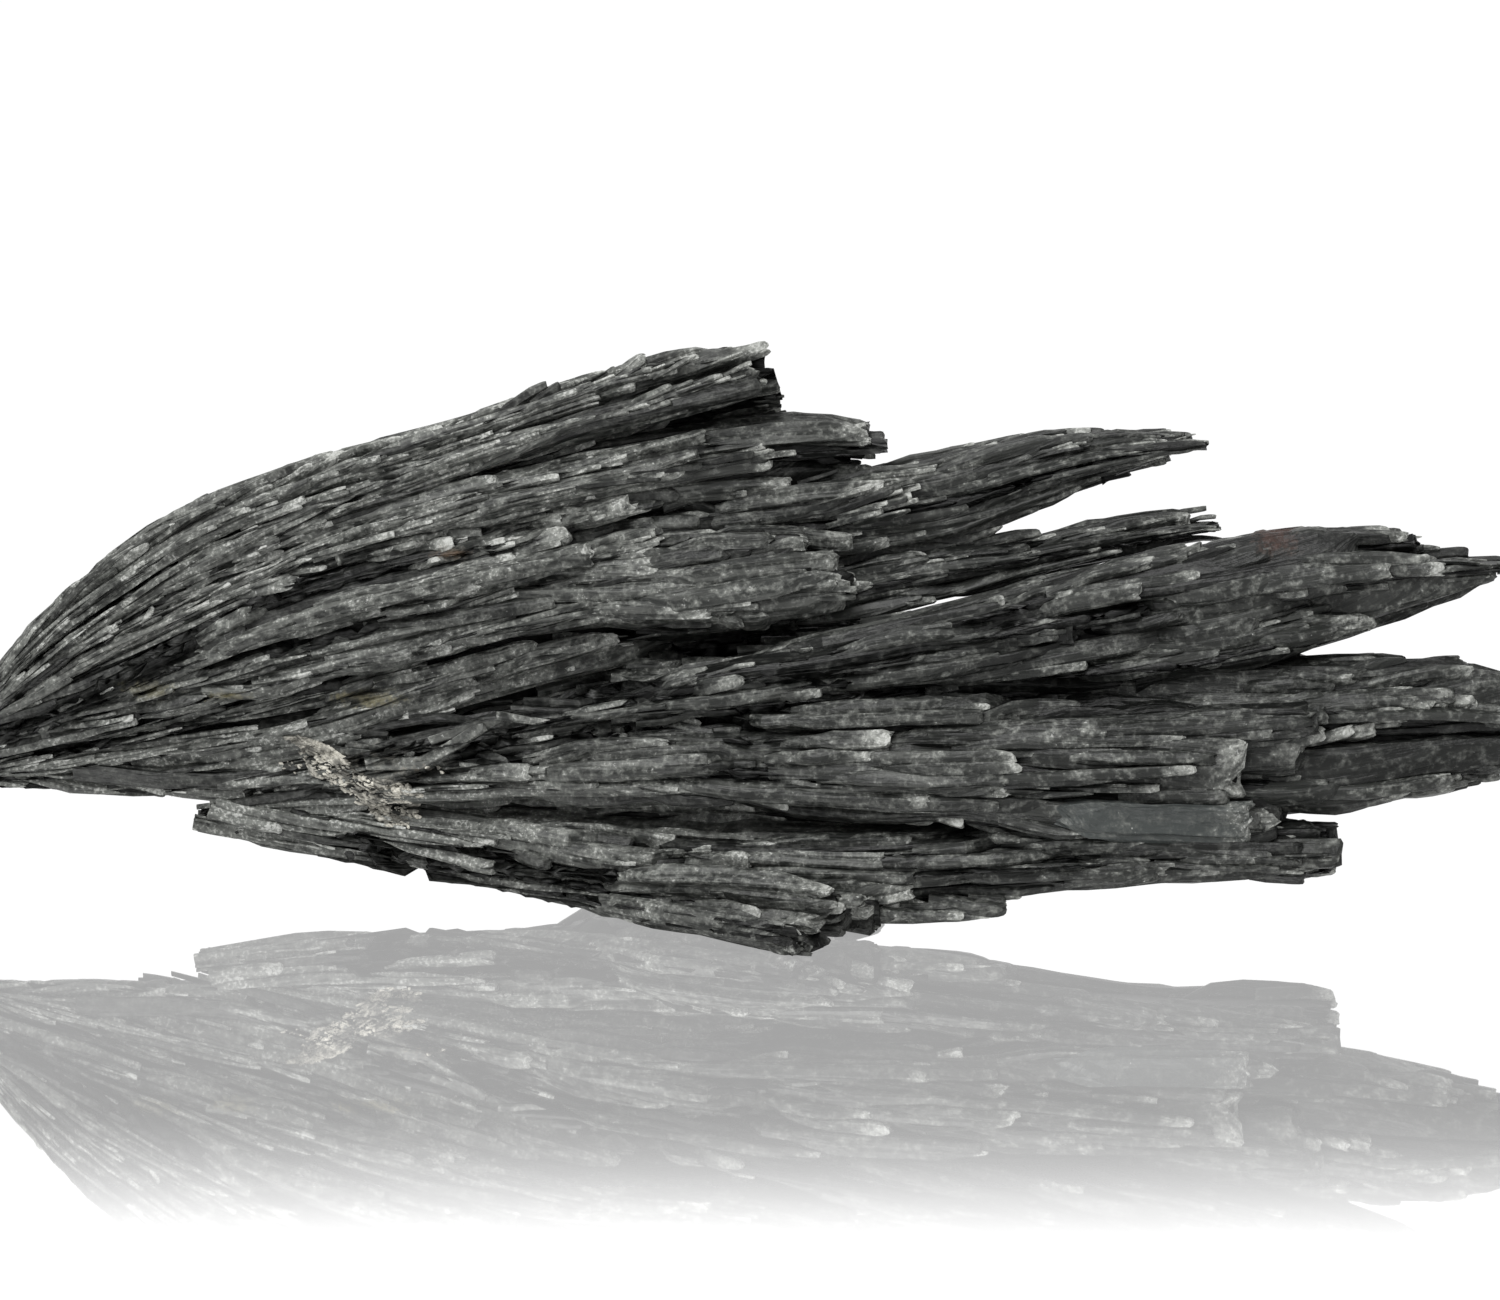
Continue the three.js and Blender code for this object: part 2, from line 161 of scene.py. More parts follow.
# A spray is a bundle of crystals that leave one root together, between an upper and a lower edge curve.
# depth is its thickness at the root, the middle and the tips. reach is how far along the curves it runs,
# from its upper to its lower side.
SPRAYS = {
    "lobe": dict(
        upper=[
            (-30.4, 3.5, 6.8), (-27.2, 3.5, 9.8), (-21.8, 3.5, 14.1), (-16.8, 3.5, 16.0),
            (-11.5, 3.5, 17.5), (-4.4, 3.2, 20.2), (1, 3, 22.2), (6, 2.8, 24),
        ],
        lower=[
            (-30.4, 4, 4.2), (-21.9, 3.8, 4.0), (-17.6, 3, 4.6), (-12.2, 2.5, 6.0),
            (-6.3, 2, 7.3), (0, 2, 8.7), (6, 2, 10.1),
        ],
        depth=(3.5, 7.6, 6), reach=(1,), seed=10, bedded=False,
    ),
    "crown": dict(
        upper=[
            (-29.8, 3.5, 6.5), (-27.2, 3.5, 9.9), (-21.8, 3.5, 14.0), (-16.8, 3.5, 15.6),
            (-11.5, 3.5, 16.8), (-4.4, 3.5, 19.7), (-2.0, 3.5, 20.3), (-0.2, 3.5, 19.8),
        ],
        lower=[(-29.8, 3.5, 5.7), (-23.7, 3, 9.6), (-17, 2.5, 13), (-8.9, 2.5, 15.9), (1, 2.5, 18.9)],
        depth=(3.5, 6, 4.5), reach=(0.97, 1, 0.95, 1), seed=11,
    ),
    "brow": dict(
        upper=[
            (-29.8, 3.5, 6.1), (-23.7, 3, 10.2), (-17, 2.5, 13.4),
            (-8.9, 2.5, 16.3), (1.5, 2.5, 18), (4.9, 2.5, 17.5),
        ],
        lower=[
            (-29.8, 3.5, 5.4), (-23.7, 3, 8.6), (-17, 2.5, 12.2),
            (-8.9, 2.5, 14), (0, 2.5, 15.3), (4.9, 2.5, 15.9),
        ],
        depth=(3.5, 6.5, 4), reach=(0.98, 1, 0.97, 0.9), seed=12,
    ),
    "shoulder": dict(
        upper=[
            (-29.8, 3.5, 5.6), (-23.7, 2.5, 8.8), (-17, 2, 12.6),
            (-8.9, 2, 14.3), (0, 2, 15.6), (4.5, 2, 15.6),
        ],
        lower=[
            (-29.8, 3.5, 4.8), (-22.6, 2.5, 6.9), (-15.2, 2, 8.6),
            (-8.1, 2, 10.5), (0, 2, 11.1), (4, 2, 11.3),
        ],
        depth=(3.5, 7, 3.5), reach=(0.9, 1, 0.96, 0.98), seed=13,
    ),
    "flank": dict(
        upper=[(-29.8, 3.5, 5.1), (-22.6, 2.8, 7.2), (-15.2, 2.5, 8.9), (-8.1, 2.5, 10.7), (0, 2.5, 11)],
        lower=[
            (-29.8, 4, 4.5), (-21.9, 3.8, 4.3), (-17.6, 3, 4.7),
            (-12.2, 2.5, 6.1), (-6.3, 2, 7.3), (0, 2, 8.6),
        ],
        depth=(3.5, 6.6, 4), reach=(1, 0.95, 1, 0.97), seed=14,
    ),
    "high_finger": dict(
        upper=[
            (-11.5, 2.5, 13.1), (-2.2, 2.2, 15), (2, 2.1, 15.8), (5, 2, 16.1), (9, 1.7, 17),
            (13, 1.4, 17.6), (15.7, 1.2, 17.6), (16.9, 1, 17.4),
        ],
        lower=[
            (-11.5, 2.5, 11.9), (-2.2, 2.2, 12.4), (7.6, 1.8, 13.5),
            (9.2, 1.7, 14.3), (11.6, 1.5, 15.4), (16.7, 1, 17.1),
        ],
        depth=(4, 3.6, 1.8), reach=(0.97, 1, 0.94), seed=15,
    ),
    "low_finger": dict(
        upper=[
            (-9.6, 2, 10.7), (0, 1.8, 12.3), (7.6, 1.3, 13.3), (9, 1.2, 13.3),
            (12.2, 0.9, 14.1), (16.1, 0.6, 14.7), (17.4, 0.5, 14.5),
        ],
        lower=[
            (-9.6, 2, 9.4), (0, 1.8, 10), (5.6, 1.3, 11.2),
            (9, 1, 12), (13.2, 0.8, 12.9), (17, 0.5, 13.9),
        ],
        depth=(4, 3.2, 1.6), reach=(0.95, 1, 0.96), seed=16,
    ),
    "knuckle": dict(
        upper=[(-11.5, 1.5, 12.2), (-4.4, 0, 13.5), (1.5, -0.8, 14.2), (3.5, -0.8, 13.7)],
        lower=[(-11.5, 1.5, 10.8), (-4.4, 0, 10.7), (1.5, -0.8, 11), (3.7, -0.8, 11.6)],
        depth=(2.5, 3, 2.2), reach=(0.88, 1), seed=17,
    ),
    "right_top": dict(
        upper=[
            (-25.5, 2.8, 5.2), (-19.4, 1.6, 5.1), (-12.2, 0, 6.7), (-6.3, -1, 8.2), (4.1, -2, 10.7),
            (8.9, -2.4, 12.1), (10.7, -2.5, 12.8), (15.9, -3, 14.1), (20, -3.5, 14.9),
            (24.6, -4, 14.8), (28.9, -4.5, 14.2),
        ],
        lower=[
            (-25.5, 3, 4.4), (-19.4, 1.8, 4.2), (-12.2, 0, 5.8), (-4.4, -1.5, 7.2), (8.9, -2.5, 8.6),
            (16.3, -3.5, 9.4), (21.7, -4, 10.7), (29, -4.5, 13.4),
        ],
        depth=(3.5, 4.6, 2.6), reach=(0.91, 1, 0.97, 0.87), seed=18,
    ),
    "right_middle": dict(
        upper=[
            (-23.5, 2.8, 4.7), (-19.4, 1.8, 4.4), (-12.2, 0, 6.1), (-4.4, -1.5, 7.5), (5.2, -2.5, 8.6),
            (16.3, -3.5, 9.5), (25.7, -4.5, 10.2), (29.8, -5, 9.2),
        ],
        lower=[
            (-23.5, 3, 4.1), (-19.4, 1.9, 3.6), (-12.2, 0, 4.9), (-4.4, -2, 5.9), (5.2, -3, 5.9),
            (12.6, -4, 4.7), (19.6, -5, 4.7), (29.8, -5, 6.4),
        ],
        depth=(3, 4.6, 3), reach=(0.93, 1, 0.98, 0.96), seed=19,
    ),
    "front_grey": dict(
        upper=[(-19.8, 1.8, 4.3), (-12.2, 0, 5.2), (-4.4, -2.5, 6.5), (5.2, -4, 7.5), (20.7, -6.3, 8.9)],
        lower=[(-20.6, 1.9, 3.1), (-12.2, -0.5, 3.8), (-4.4, -3, 4.6), (5.2, -5, 4.2), (19.3, -6.8, 3.5)],
        depth=(2.5, 3.6, 2.6), reach=(1, 0.95, 0.99), seed=20,
    ),
    "low_block": dict(
        upper=[(-20, 2, 3.6), (-12.2, 0, 3.8), (-4.4, -3, 3.6), (5.2, -4.6, 3.7), (21.5, -6.4, 4.4)],
        lower=[
            (-20.4, 2, 3), (-12.2, 0.5, 2.5), (-4.4, -2, 1.4), (4.5, -4, 0.7),
            (8.9, -5, 1.1), (13.7, -5.5, 1.7), (21, -6.6, 1.7),
        ],
        depth=(2.5, 4.4, 3.4), reach=(0.99, 1, 1, 0.72), seed=21,
    ),
    "front_foot": dict(
        upper=[(-21.1, 2, 3.1), (-12.2, 0, 3), (-4.4, -3, 2.3), (5.2, -6, 1.6)],
        lower=[
            (-21, 2, 2.4), (-16.7, 1.6, 1.8), (-12.2, 1, 1.6),
            (-6.9, -2.2, 0.2), (-2.2, -6.3, -0.3), (1.4, -9.6, -0.3),
        ],
        depth=(2, 3.6, 2.8), reach=(1, 0.98, 0.97, 1), seed=22,
    ),
    "inner_wing": dict(
        upper=[(-14, 1.5, 8), (4, 0.6, 9.4), (17, -0.6, 9.6)],
        lower=[(-14, 2, 5.4), (4, 1.4, 5.2), (15, 0.2, 6)],
        depth=(3, 4.5, 3), reach=(0.95, 1, 0.9), seed=23,
    ),
    "back_high": dict(
        upper=[(-22, 5, 10), (-8, 5.8, 14), (4.2, 4.8, 14.4)],
        lower=[(-21, 5, 7.6), (-6, 6, 10.4), (4.6, 5.4, 10)],
        depth=(2.5, 4.4, 3), reach=(0.93, 1, 0.9), seed=24,
    ),
    "back_wing": dict(
        upper=[(-20, 5, 7.6), (0, 5.8, 9.2), (15, 2.6, 8.8)],
        lower=[(-18.5, 5, 4.8), (1, 5.8, 5.2), (13.5, 2.8, 5.4)],
        depth=(3, 5, 3), reach=(0.9, 1, 0.94), seed=25,
    ),
    "back_foot": dict(
        upper=[(-16, 5, 6.4), (-5, 6.6, 5.2), (5.4, 7, 2.6)],
        lower=[(-16, 5, 5), (-8, 6.2, 3), (-2, 7.6, -1.4)],
        depth=(2.5, 4.4, 3.4), reach=(1, 0.98, 1, 1), seed=26,
    ),
}


# Deep gaps in the broad face: the line along the gap, its half width, and how deep the blades lie in it.
CREVICES = [
    dict(line=[(-17, 2.5, 12.7), (-13.3, 2.5, 13.1), (-11.5, 2.5, 14), (-5.9, 2.5, 14.4), (-3, 2.5, 15.1),
               (0, 2.5, 15.6)],
         half_width=0.19, depth=0.8),
    dict(line=[(-7.8, 2, 13.5), (-5.9, 2, 13.5), (-4.1, 2, 14.6), (0, 2, 14.7)], half_width=0.19, depth=0.7),
    dict(line=[(-17.8, 2, 9.7), (-15.2, 2, 8.6), (-12.2, 2, 9.3), (-8.1, 2, 10.4), (0, 1, 10.9)],
         half_width=0.15, depth=0.5),
    dict(line=[(-15.2, 1, 6), (-12.6, 0.5, 6.6), (-9.3, 0, 7.5), (-5.9, -0.5, 8.4), (-4.1, -1, 9.4),
               (0.5, -1, 10.2), (3.5, -0.5, 10.8)],
         half_width=0.25, depth=1.2),
    dict(line=[(-7, -1.5, 7.4), (-4.4, -1.5, 7.4), (0, -2, 7.6)], half_width=0.3, depth=1.1),
    dict(line=[(-2.2, -2, 6.4), (0, -2, 6.5), (3, -2.5, 6.7)], half_width=0.26, depth=0.9),
    dict(line=[(-5.9, -3, 4.6), (3.3, -4, 4.2), (10.7, -5, 3.3), (17.8, -6.3, 3.4)],
         half_width=0.2, depth=1.0),
    dict(line=[(-7.4, -2, 3.1), (-4.4, -2.5, 2.8), (-2.2, -3, 2.3), (0, -3.5, 2)],
         half_width=0.26, depth=0.9),
    dict(line=[(4.5, -2.5, 10.3), (9, -2.6, 10.6), (16.5, -3.2, 11.3)], half_width=0.24, depth=0.9),
    dict(line=[(2.6, -2.5, 8.7), (9, -3, 8.9), (16, -3.5, 9.4), (21, -4, 10)], half_width=0.34, depth=1.3),
    dict(line=[(8, -4, 7.9), (14, -4.8, 8.5), (18.5, -5.5, 9.1)], half_width=0.26, depth=0.9),
    dict(line=[(12.6, -3, 12.2), (17.8, -3.4, 12.4), (23, -4, 12.2)], half_width=0.24, depth=0.8),
]


# Patches of another colour, by their middle and how far they reach along, across and up the fan.
STAINS = [
    dict(place=(-14.6, -2.5, 7.8), reach=(1.5, 3, 0.35), strength=0.55, colour=(0.13, 0.115, 0.06, 1)),
    dict(place=(-19.8, -2, 7.8), reach=(0.8, 3, 0.3), strength=0.5, colour=(0.13, 0.115, 0.06, 1)),
    dict(place=(-22.8, -1.5, 8.0), reach=(1.0, 3, 0.35), strength=0.45, colour=(0.11, 0.1, 0.055, 1)),
    dict(place=(-11.5, -3, 13.4), reach=(0.9, 3, 0.3), strength=0.5, colour=(0.09, 0.055, 0.03, 1)),
    dict(place=(-12.8, -4, 5.5), reach=(0.7, 2, 0.5), strength=0.6, colour=(0.1, 0.055, 0.03, 1)),
    dict(place=(19.0, -2, 14.6), reach=(0.9, 4, 0.5), strength=0.8, colour=(0.034, 0.018, 0.014, 1)),
    dict(place=(0.8, -5, 0.9), reach=(2.2, 2, 0.6), strength=0.5, colour=(0.012, 0.0085, 0.011, 1)),
    dict(place=(-15.0, -4.5, 5.2), reach=(3.0, 3, 1.6), strength=0.45, colour=(0.2, 0.19, 0.16, 1)),
]

# The cream crust near the root of the low sprays: lines by places along and up, with their half width and the
# grains on each square millimetre.
CRUST_LINES = [
    dict(line=[(-17.7, 6.25), (-16.6, 5.9), (-15.3, 5.4)], half_width=0.22, per_area=350),
    dict(line=[(-17.2, 5.7), (-15.6, 4.9), (-14.2, 4.1), (-12.7, 3.3)], half_width=0.5, per_area=75),
    dict(line=[(-14.6, 4.9), (-13.6, 4.6), (-12.6, 4.3)], half_width=0.2, per_area=90),
    dict(line=[(-14.9, 3.9), (-14.0, 3.4), (-13.1, 3.1)], half_width=0.25, per_area=80),
    dict(line=[(-18.2, 5.1), (-17.3, 5.0), (-16.4, 4.6)], half_width=0.25, per_area=12),
    dict(line=[(-12.6, 5.6), (-11.8, 5.3)], half_width=0.15, per_area=70),
]

# The great blades that stand proud of the broad face, by spray. Each runs from a start to an end, given as
# shares along the spray and across it (-1 its lower edge, 1 its upper), and is lifted off its surface. A tone
# above 1 is a smooth glassy blade with a painted grey sheen.
GREAT_BLADES = {
    "knuckle": [dict(start=(0.42, -0.2), end=(0.99, 0.3), width=1.5, lift=0.2, tone=1.15)],
    "shoulder": [dict(start=(0.45, 0.4), end=(0.72, 0.3), width=0.8, lift=0.15, tone=0.8)],
    "high_finger": [dict(start=(0.32, 0.9), end=(0.57, 0.85), width=0.9, lift=0.05, tone=0.6)],
    "right_top": [dict(start=(0.78, 0.6), end=(0.93, 0.5), width=1.2, lift=0.15, tone=0.95)],
    "right_middle": [
        dict(start=(0.45, 0.3), end=(0.61, 0.43), width=0.9, lift=0.25, tone=0.95),
        dict(start=(0.68, 0.0), end=(0.84, 0.12), width=1.3, lift=0.4, tone=1.2),
        dict(start=(0.84, 0.5), end=(0.92, 0.45), width=0.9, lift=0.2, tone=0.99),
    ],
    "front_grey": [
        dict(start=(0.5, 0.45), end=(0.64, 0.43), width=0.9, lift=0.15, tone=0.8),
        dict(start=(0.55, -0.15), end=(0.75, 0.0), width=1.6, lift=0.2, tone=0.95),
        dict(start=(0.76, 0.27), end=(0.93, 0.3), width=1.3, lift=0.2, tone=0.9),
        dict(start=(0.78, -0.72), end=(0.97, -0.68), width=0.9, lift=0.3, tone=1.7),
    ],
    "low_block": [dict(start=(0.45, 0.3), end=(0.64, 0.0), width=1.2, lift=0.2, tone=0.9)],
    "front_foot": [dict(start=(0.6, 0.15), end=(0.97, 0.1), width=1.0, lift=0.15, tone=0.75)],
}


# ---------------------------------------------------------------- node trees, written as expressions

class Value:
    """An output socket that Python arithmetic can use: each operator adds a Math node."""

    def __init__(self, graph, socket):
        self.graph = graph
        self.socket = socket

    def __getitem__(self, name):
        """Another output of the same node."""
        return Value(self.graph, self.socket.node.outputs[name])

    def math(self, operation, *operands, clamp=False):
        return self.graph.node("ShaderNodeMath", {"operation": operation, "use_clamp": clamp}, operands)

    def __add__(self, other):
        return self.math("ADD", self, other)

    def __sub__(self, other):
        return self.math("SUBTRACT", self, other)

    def __rsub__(self, other):
        return self.math("SUBTRACT", other, self)

    def __mul__(self, other):
        return self.math("MULTIPLY", self, other)

    def __truediv__(self, other):
        return self.math("DIVIDE", self, other)

    def __pow__(self, other):
        return self.math("POWER", self, other)

    __radd__ = __add__
    __rmul__ = __mul__

    def above(self, low, high):
        """0 below low, 1 above high, smooth between them."""
        return self.graph.node(
            "ShaderNodeMapRange", {"interpolation_type": "SMOOTHSTEP"},
            {"Value": self, "From Min": low, "From Max": high},
        )


class Graph:
    """Builds one node tree."""

    def __init__(self, tree):
        self.tree = tree

    def node(self, kind, settings=None, inputs=None):
        """Adds a node, sets its settings, then its sockets, and returns its first output."""
        made = self.tree.nodes.new(kind)
        for name, value in (settings or {}).items():
            setattr(made, name, value)
        pairs = inputs.items() if isinstance(inputs, dict) else enumerate(inputs or ())
        for key, value in pairs:
            if isinstance(value, Value):
                self.tree.links.new(value.socket, made.inputs[key])
            else:
                made.inputs[key].default_value = value
        return Value(self, made.outputs[0]) if made.outputs else made

    def vector(self, operation, *operands):
        return self.node("ShaderNodeVectorMath", {"operation": operation}, operands)

    def attribute(self, name):
        return self.node("ShaderNodeAttribute", {"attribute_name": name})["Fac"]

    def noise(self, where, scale, detail=2.0, roughness=0.5, distortion=0.0):
        return self.node("ShaderNodeTexNoise", None, {
            "Vector": where, "Scale": scale, "Detail": detail, "Roughness": roughness,
            "Distortion": distortion,
        })

    def combined(self, x, y, z):
        return self.node("ShaderNodeCombineXYZ", None, {"X": x, "Y": y, "Z": z})

    def scaled(self, vector, factor):
        return self.node("ShaderNodeVectorMath", {"operation": "SCALE"}, {"Vector": vector, "Scale": factor})

    def bulged(self, value, power):
        """The value raised to a power, keeping its sign."""
        return value.math("SIGN", value) * value.math("ABSOLUTE", value) ** power

    def named(self, name, kind="FLOAT"):
        return self.node("GeometryNodeInputNamedAttribute", {"data_type": kind}, {"Name": name})

    def stored(self, geometry, name, value, kind="FLOAT"):
        return self.node(
            "GeometryNodeStoreNamedAttribute", {"data_type": kind, "domain": "POINT"},
            {"Geometry": geometry, "Name": name, "Value": value},
        )

    def mix(self, factor, first, second):
        """The first colour turning into the second."""
        mixed = self.tree.nodes.new("ShaderNodeMix")
        mixed.data_type = "RGBA"
        for name, value in (("Factor_Float", factor), ("A_Color", first), ("B_Color", second)):
            socket = next(one for one in mixed.inputs if one.identifier == name)
            if isinstance(value, Value):
                self.tree.links.new(value.socket, socket)
            else:
                socket.default_value = value
        return Value(self, next(one for one in mixed.outputs if one.identifier == "Result_Color"))


# ---------------------------------------------------------------- sprays

def edge_curve(points):
    """Evenly spaced samples of the centripetal Catmull-Rom curve through the points."""
    points = np.array(points, float)
    padded = np.vstack([2 * points[0] - points[1], points, 2 * points[-1] - points[-2]])
    t = np.linspace(0, 1, 40, endpoint=False)[:, None]
    stretches = []
    for p0, p1, p2, p3 in zip(padded, padded[1:], padded[2:], padded[3:]):
        k0, k1, k2 = (math.sqrt(np.linalg.norm(b - a)) for a, b in ((p0, p1), (p1, p2), (p2, p3)))
        leave = ((p1 - p0) / k0 - (p2 - p0) / (k0 + k1) + (p2 - p1) / k1) * k1
        arrive = ((p2 - p1) / k1 - (p3 - p1) / (k1 + k2) + (p3 - p2) / k2) * k1
        stretches.append(
            p1 * (2 * t**3 - 3 * t**2 + 1) + leave * (t**3 - 2 * t**2 + t)
            + p2 * (3 * t**2 - 2 * t**3) + arrive * (t**3 - t**2)
        )
    dense = np.vstack([*stretches, points[-1:]])
    length = np.r_[0, np.cumsum(np.linalg.norm(np.diff(dense, axis=0), axis=1))]
    return at_share(dense, length / length[-1], np.linspace(0, 1, RUN_POINTS))


def at_share(samples, shares, wanted):
    """Rows of samples, known at rising shares, read at the wanted shares."""
    return np.stack([np.interp(wanted, shares, column) for column in samples.T], axis=-1)


def sampled(rows, share):
    """Evenly spaced rows read at each share of their run."""
    place = np.clip(share, 0, 1) * (len(rows) - 1)
    low = np.minimum(place.astype(int), len(rows) - 2)
    part = (place - low).reshape(place.shape + (1,) * (rows.ndim - 1))
    return rows[low] * (1 - part) + rows[low + 1] * part


def unit(rows):
    return rows / np.maximum(np.linalg.norm(rows, axis=-1, keepdims=True), 1e-9)


class Spray:
    """The body of one spray, from which blades take their routes."""

    def __init__(self, upper, lower, depth, reach, seed, bedded=True):
        upper, lower = edge_curve(upper), edge_curve(lower)
        self.middle = (upper + lower) / 2
        spread = upper - lower
        self.across = unit(spread)
        self.outward = unit(np.cross(unit(np.gradient(self.middle, axis=0)), spread))
        self.half_height = np.linalg.norm(spread, axis=1) / 2 + ROOT_MARGIN
        self.share = np.linspace(0, 1, RUN_POINTS)
        self.half_depth = np.interp(self.share, [0, 0.5, 1], depth) / 2
        self.length = np.linalg.norm(np.diff(self.middle, axis=0), axis=1).sum()
        self.reach = np.array(reach, float)
        self.bedded = bedded  # whether the spray has a body of its own under its surface
        self.random = np.random.default_rng(seed)
        self.gaps = []

    def at(self, name, share):
        """The spray's own samples read at each share."""
        return sampled(getattr(self, name), share)

    def surface(self, angle, share, inset):
        """Points of the section's outline at each share, at inset under the surface."""
        c, s = np.cos(angle), np.sin(angle)
        up, out = (np.sign(v) * np.abs(v) ** SQUARENESS for v in (c, s))
        high = up * np.maximum(self.at("half_height", share) - inset, LEAST_RADIUS)
        deep = out * np.maximum(self.at("half_depth", share) - inset, LEAST_RADIUS)
        middle, across, outward = (self.at(name, share) for name in ("middle", "across", "outward"))
        return middle + high[..., None] * across + deep[..., None] * outward

    def outline(self, inset, share):
        """Fine angles round the section at a share, and the length of outline up to each."""
        fine = np.linspace(0, 2 * math.pi, 361)
        around = self.surface(fine, np.full(len(fine), share), inset)
        return fine, np.r_[0, np.cumsum(np.linalg.norm(np.diff(around, axis=0), axis=1))]

    def inside(self, place, share):
        """Where each place lies in its section: 0 the middle, 1 the surface, up and out."""
        off = place - self.at("middle", share)
        return (
            np.sum(off * self.at("across", share), axis=-1) / self.at("half_height", share),
            np.sum(off * self.at("outward", share), axis=-1) / self.at("half_depth", share),
        )

    def beyond(self, place, share):
        """How far each place lies outside the spray's surface; negative inside."""
        x, y = (np.abs(part) for part in self.inside(place, share))
        ratio = (x ** (2 / SQUARENESS) + y ** (2 / SQUARENESS)) ** (SQUARENESS / 2)
        return (ratio - 1) * np.minimum(self.at("half_height", share), self.at("half_depth", share))

    def normal(self, place, share):
        """The direction away from the spray's middle, square to its surface."""
        x, y = self.inside(place, share)
        power = 2 / SQUARENESS - 1
        up = np.sign(x) * np.abs(x) ** power / self.at("half_height", share)
        out = np.sign(y) * np.abs(y) ** power / self.at("half_depth", share)
        return unit(up[..., None] * self.at("across", share) + out[..., None] * self.at("outward", share))

    def split(self, per_area, half_width, length, depth):
        """Opens narrow gaps along the spray, for sinking the blades that lie in them."""
        rng = self.random
        count = int(self.half_height.max() * self.length * per_area)
        for _ in range(count):
            start, across = rng.uniform(*SPLIT_STARTS), rng.uniform(*SPLIT_PLACES)
            self.gaps.append(dict(
                start=start, end=start + rng.uniform(*length) / self.length, across=across,
                turn=rng.normal(0, SPLIT_TURN), half_width=rng.uniform(*half_width),
                depth=rng.uniform(*depth), side=rng.choice([-1, 1]),
            ))

    def sunk(self, place, share):
        """How deep each place lies for being in one of the gaps."""
        up, out = self.inside(place, share)
        half_height = self.at("half_height", share)
        most = np.zeros(share.shape)
        for gap in self.gaps:
            line = gap["across"] + gap["turn"] * (share - gap["start"])
            off = np.abs(up - line) * half_height / gap["half_width"]
            ends = np.minimum(share - gap["start"], gap["end"] - share) * self.length
            part = np.clip(1.5 - off, 0, 1) * np.clip(ends / SPLIT_TAPER, 0, 1)
            most = np.maximum(most, part * (np.sign(out) == gap["side"]) * gap["depth"])
        return most * np.clip(self.at("half_depth", share) - THIN_SPRAY, 0, 1)

    def reach_at(self, angle):
        """How far the spray runs at an angle of its section."""
        drop = (1 - np.cos(angle)) / 2
        return self.reach[np.minimum((drop * len(self.reach)).astype(int), len(self.reach) - 1)]


# How a blade narrows (first) and thins (second) over its last stretch, by kind of broken end.
END_STEPS = np.array([1.0, 0.6, 0.25, 0.08, 0.0])
END_KINDS = {
    "blunt": ([1, 1, 0.98, 0.94, 0.82], [1, 1, 0.94, 0.86, 0.66]),
    "round": ([0.98, 0.94, 0.82, 0.66, 0.4], [0.96, 0.88, 0.72, 0.55, 0.3]),
    "chisel": ([0.9, 0.82, 0.72, 0.62, 0.5], [0.76, 0.6, 0.42, 0.32, 0.22]),
    "pointed": ([0.75, 0.58, 0.4, 0.26, 0.15], [0.85, 0.7, 0.5, 0.35, 0.2]),
}
END_ODDS = [0.5, 0.2, 0.18, 0.12]
LONGEST_END = 1.4  # length of the last stretch


def shaped(place, facing, half_width, half_depth, run, tone, rng, end_length=LONGEST_END):
    """A blade's attribute rows with its broken end worked in; the last rows must follow END_STEPS."""
    narrow, thin = END_KINDS[rng.choice(list(END_KINDS), p=END_ODDS)]
    half_width, half_depth = half_width.copy(), half_depth.copy()
    half_width[-len(narrow):] *= np.array(narrow)
    half_depth[-len(thin):] *= np.array(thin)
    return dict(
        place=place, facing=facing, half_width=half_width, half_depth=half_depth, run=run,
        tone=np.full(len(place), tone) if np.isscalar(tone) else tone,
        broken=np.clip(1 - (run[-1] - run) / end_length, 0, 1),
    )


def stations(a, b, length, step):
    """Shares of the sections of a blade, close together at its end."""
    ends = b - END_STEPS * min(LONGEST_END, (b - a) * length * 0.4) / length
    count = max(2, int((ends[0] - a) * length / step) + 1)
    return np.r_[np.linspace(a, ends[0], count, endpoint=False), ends]


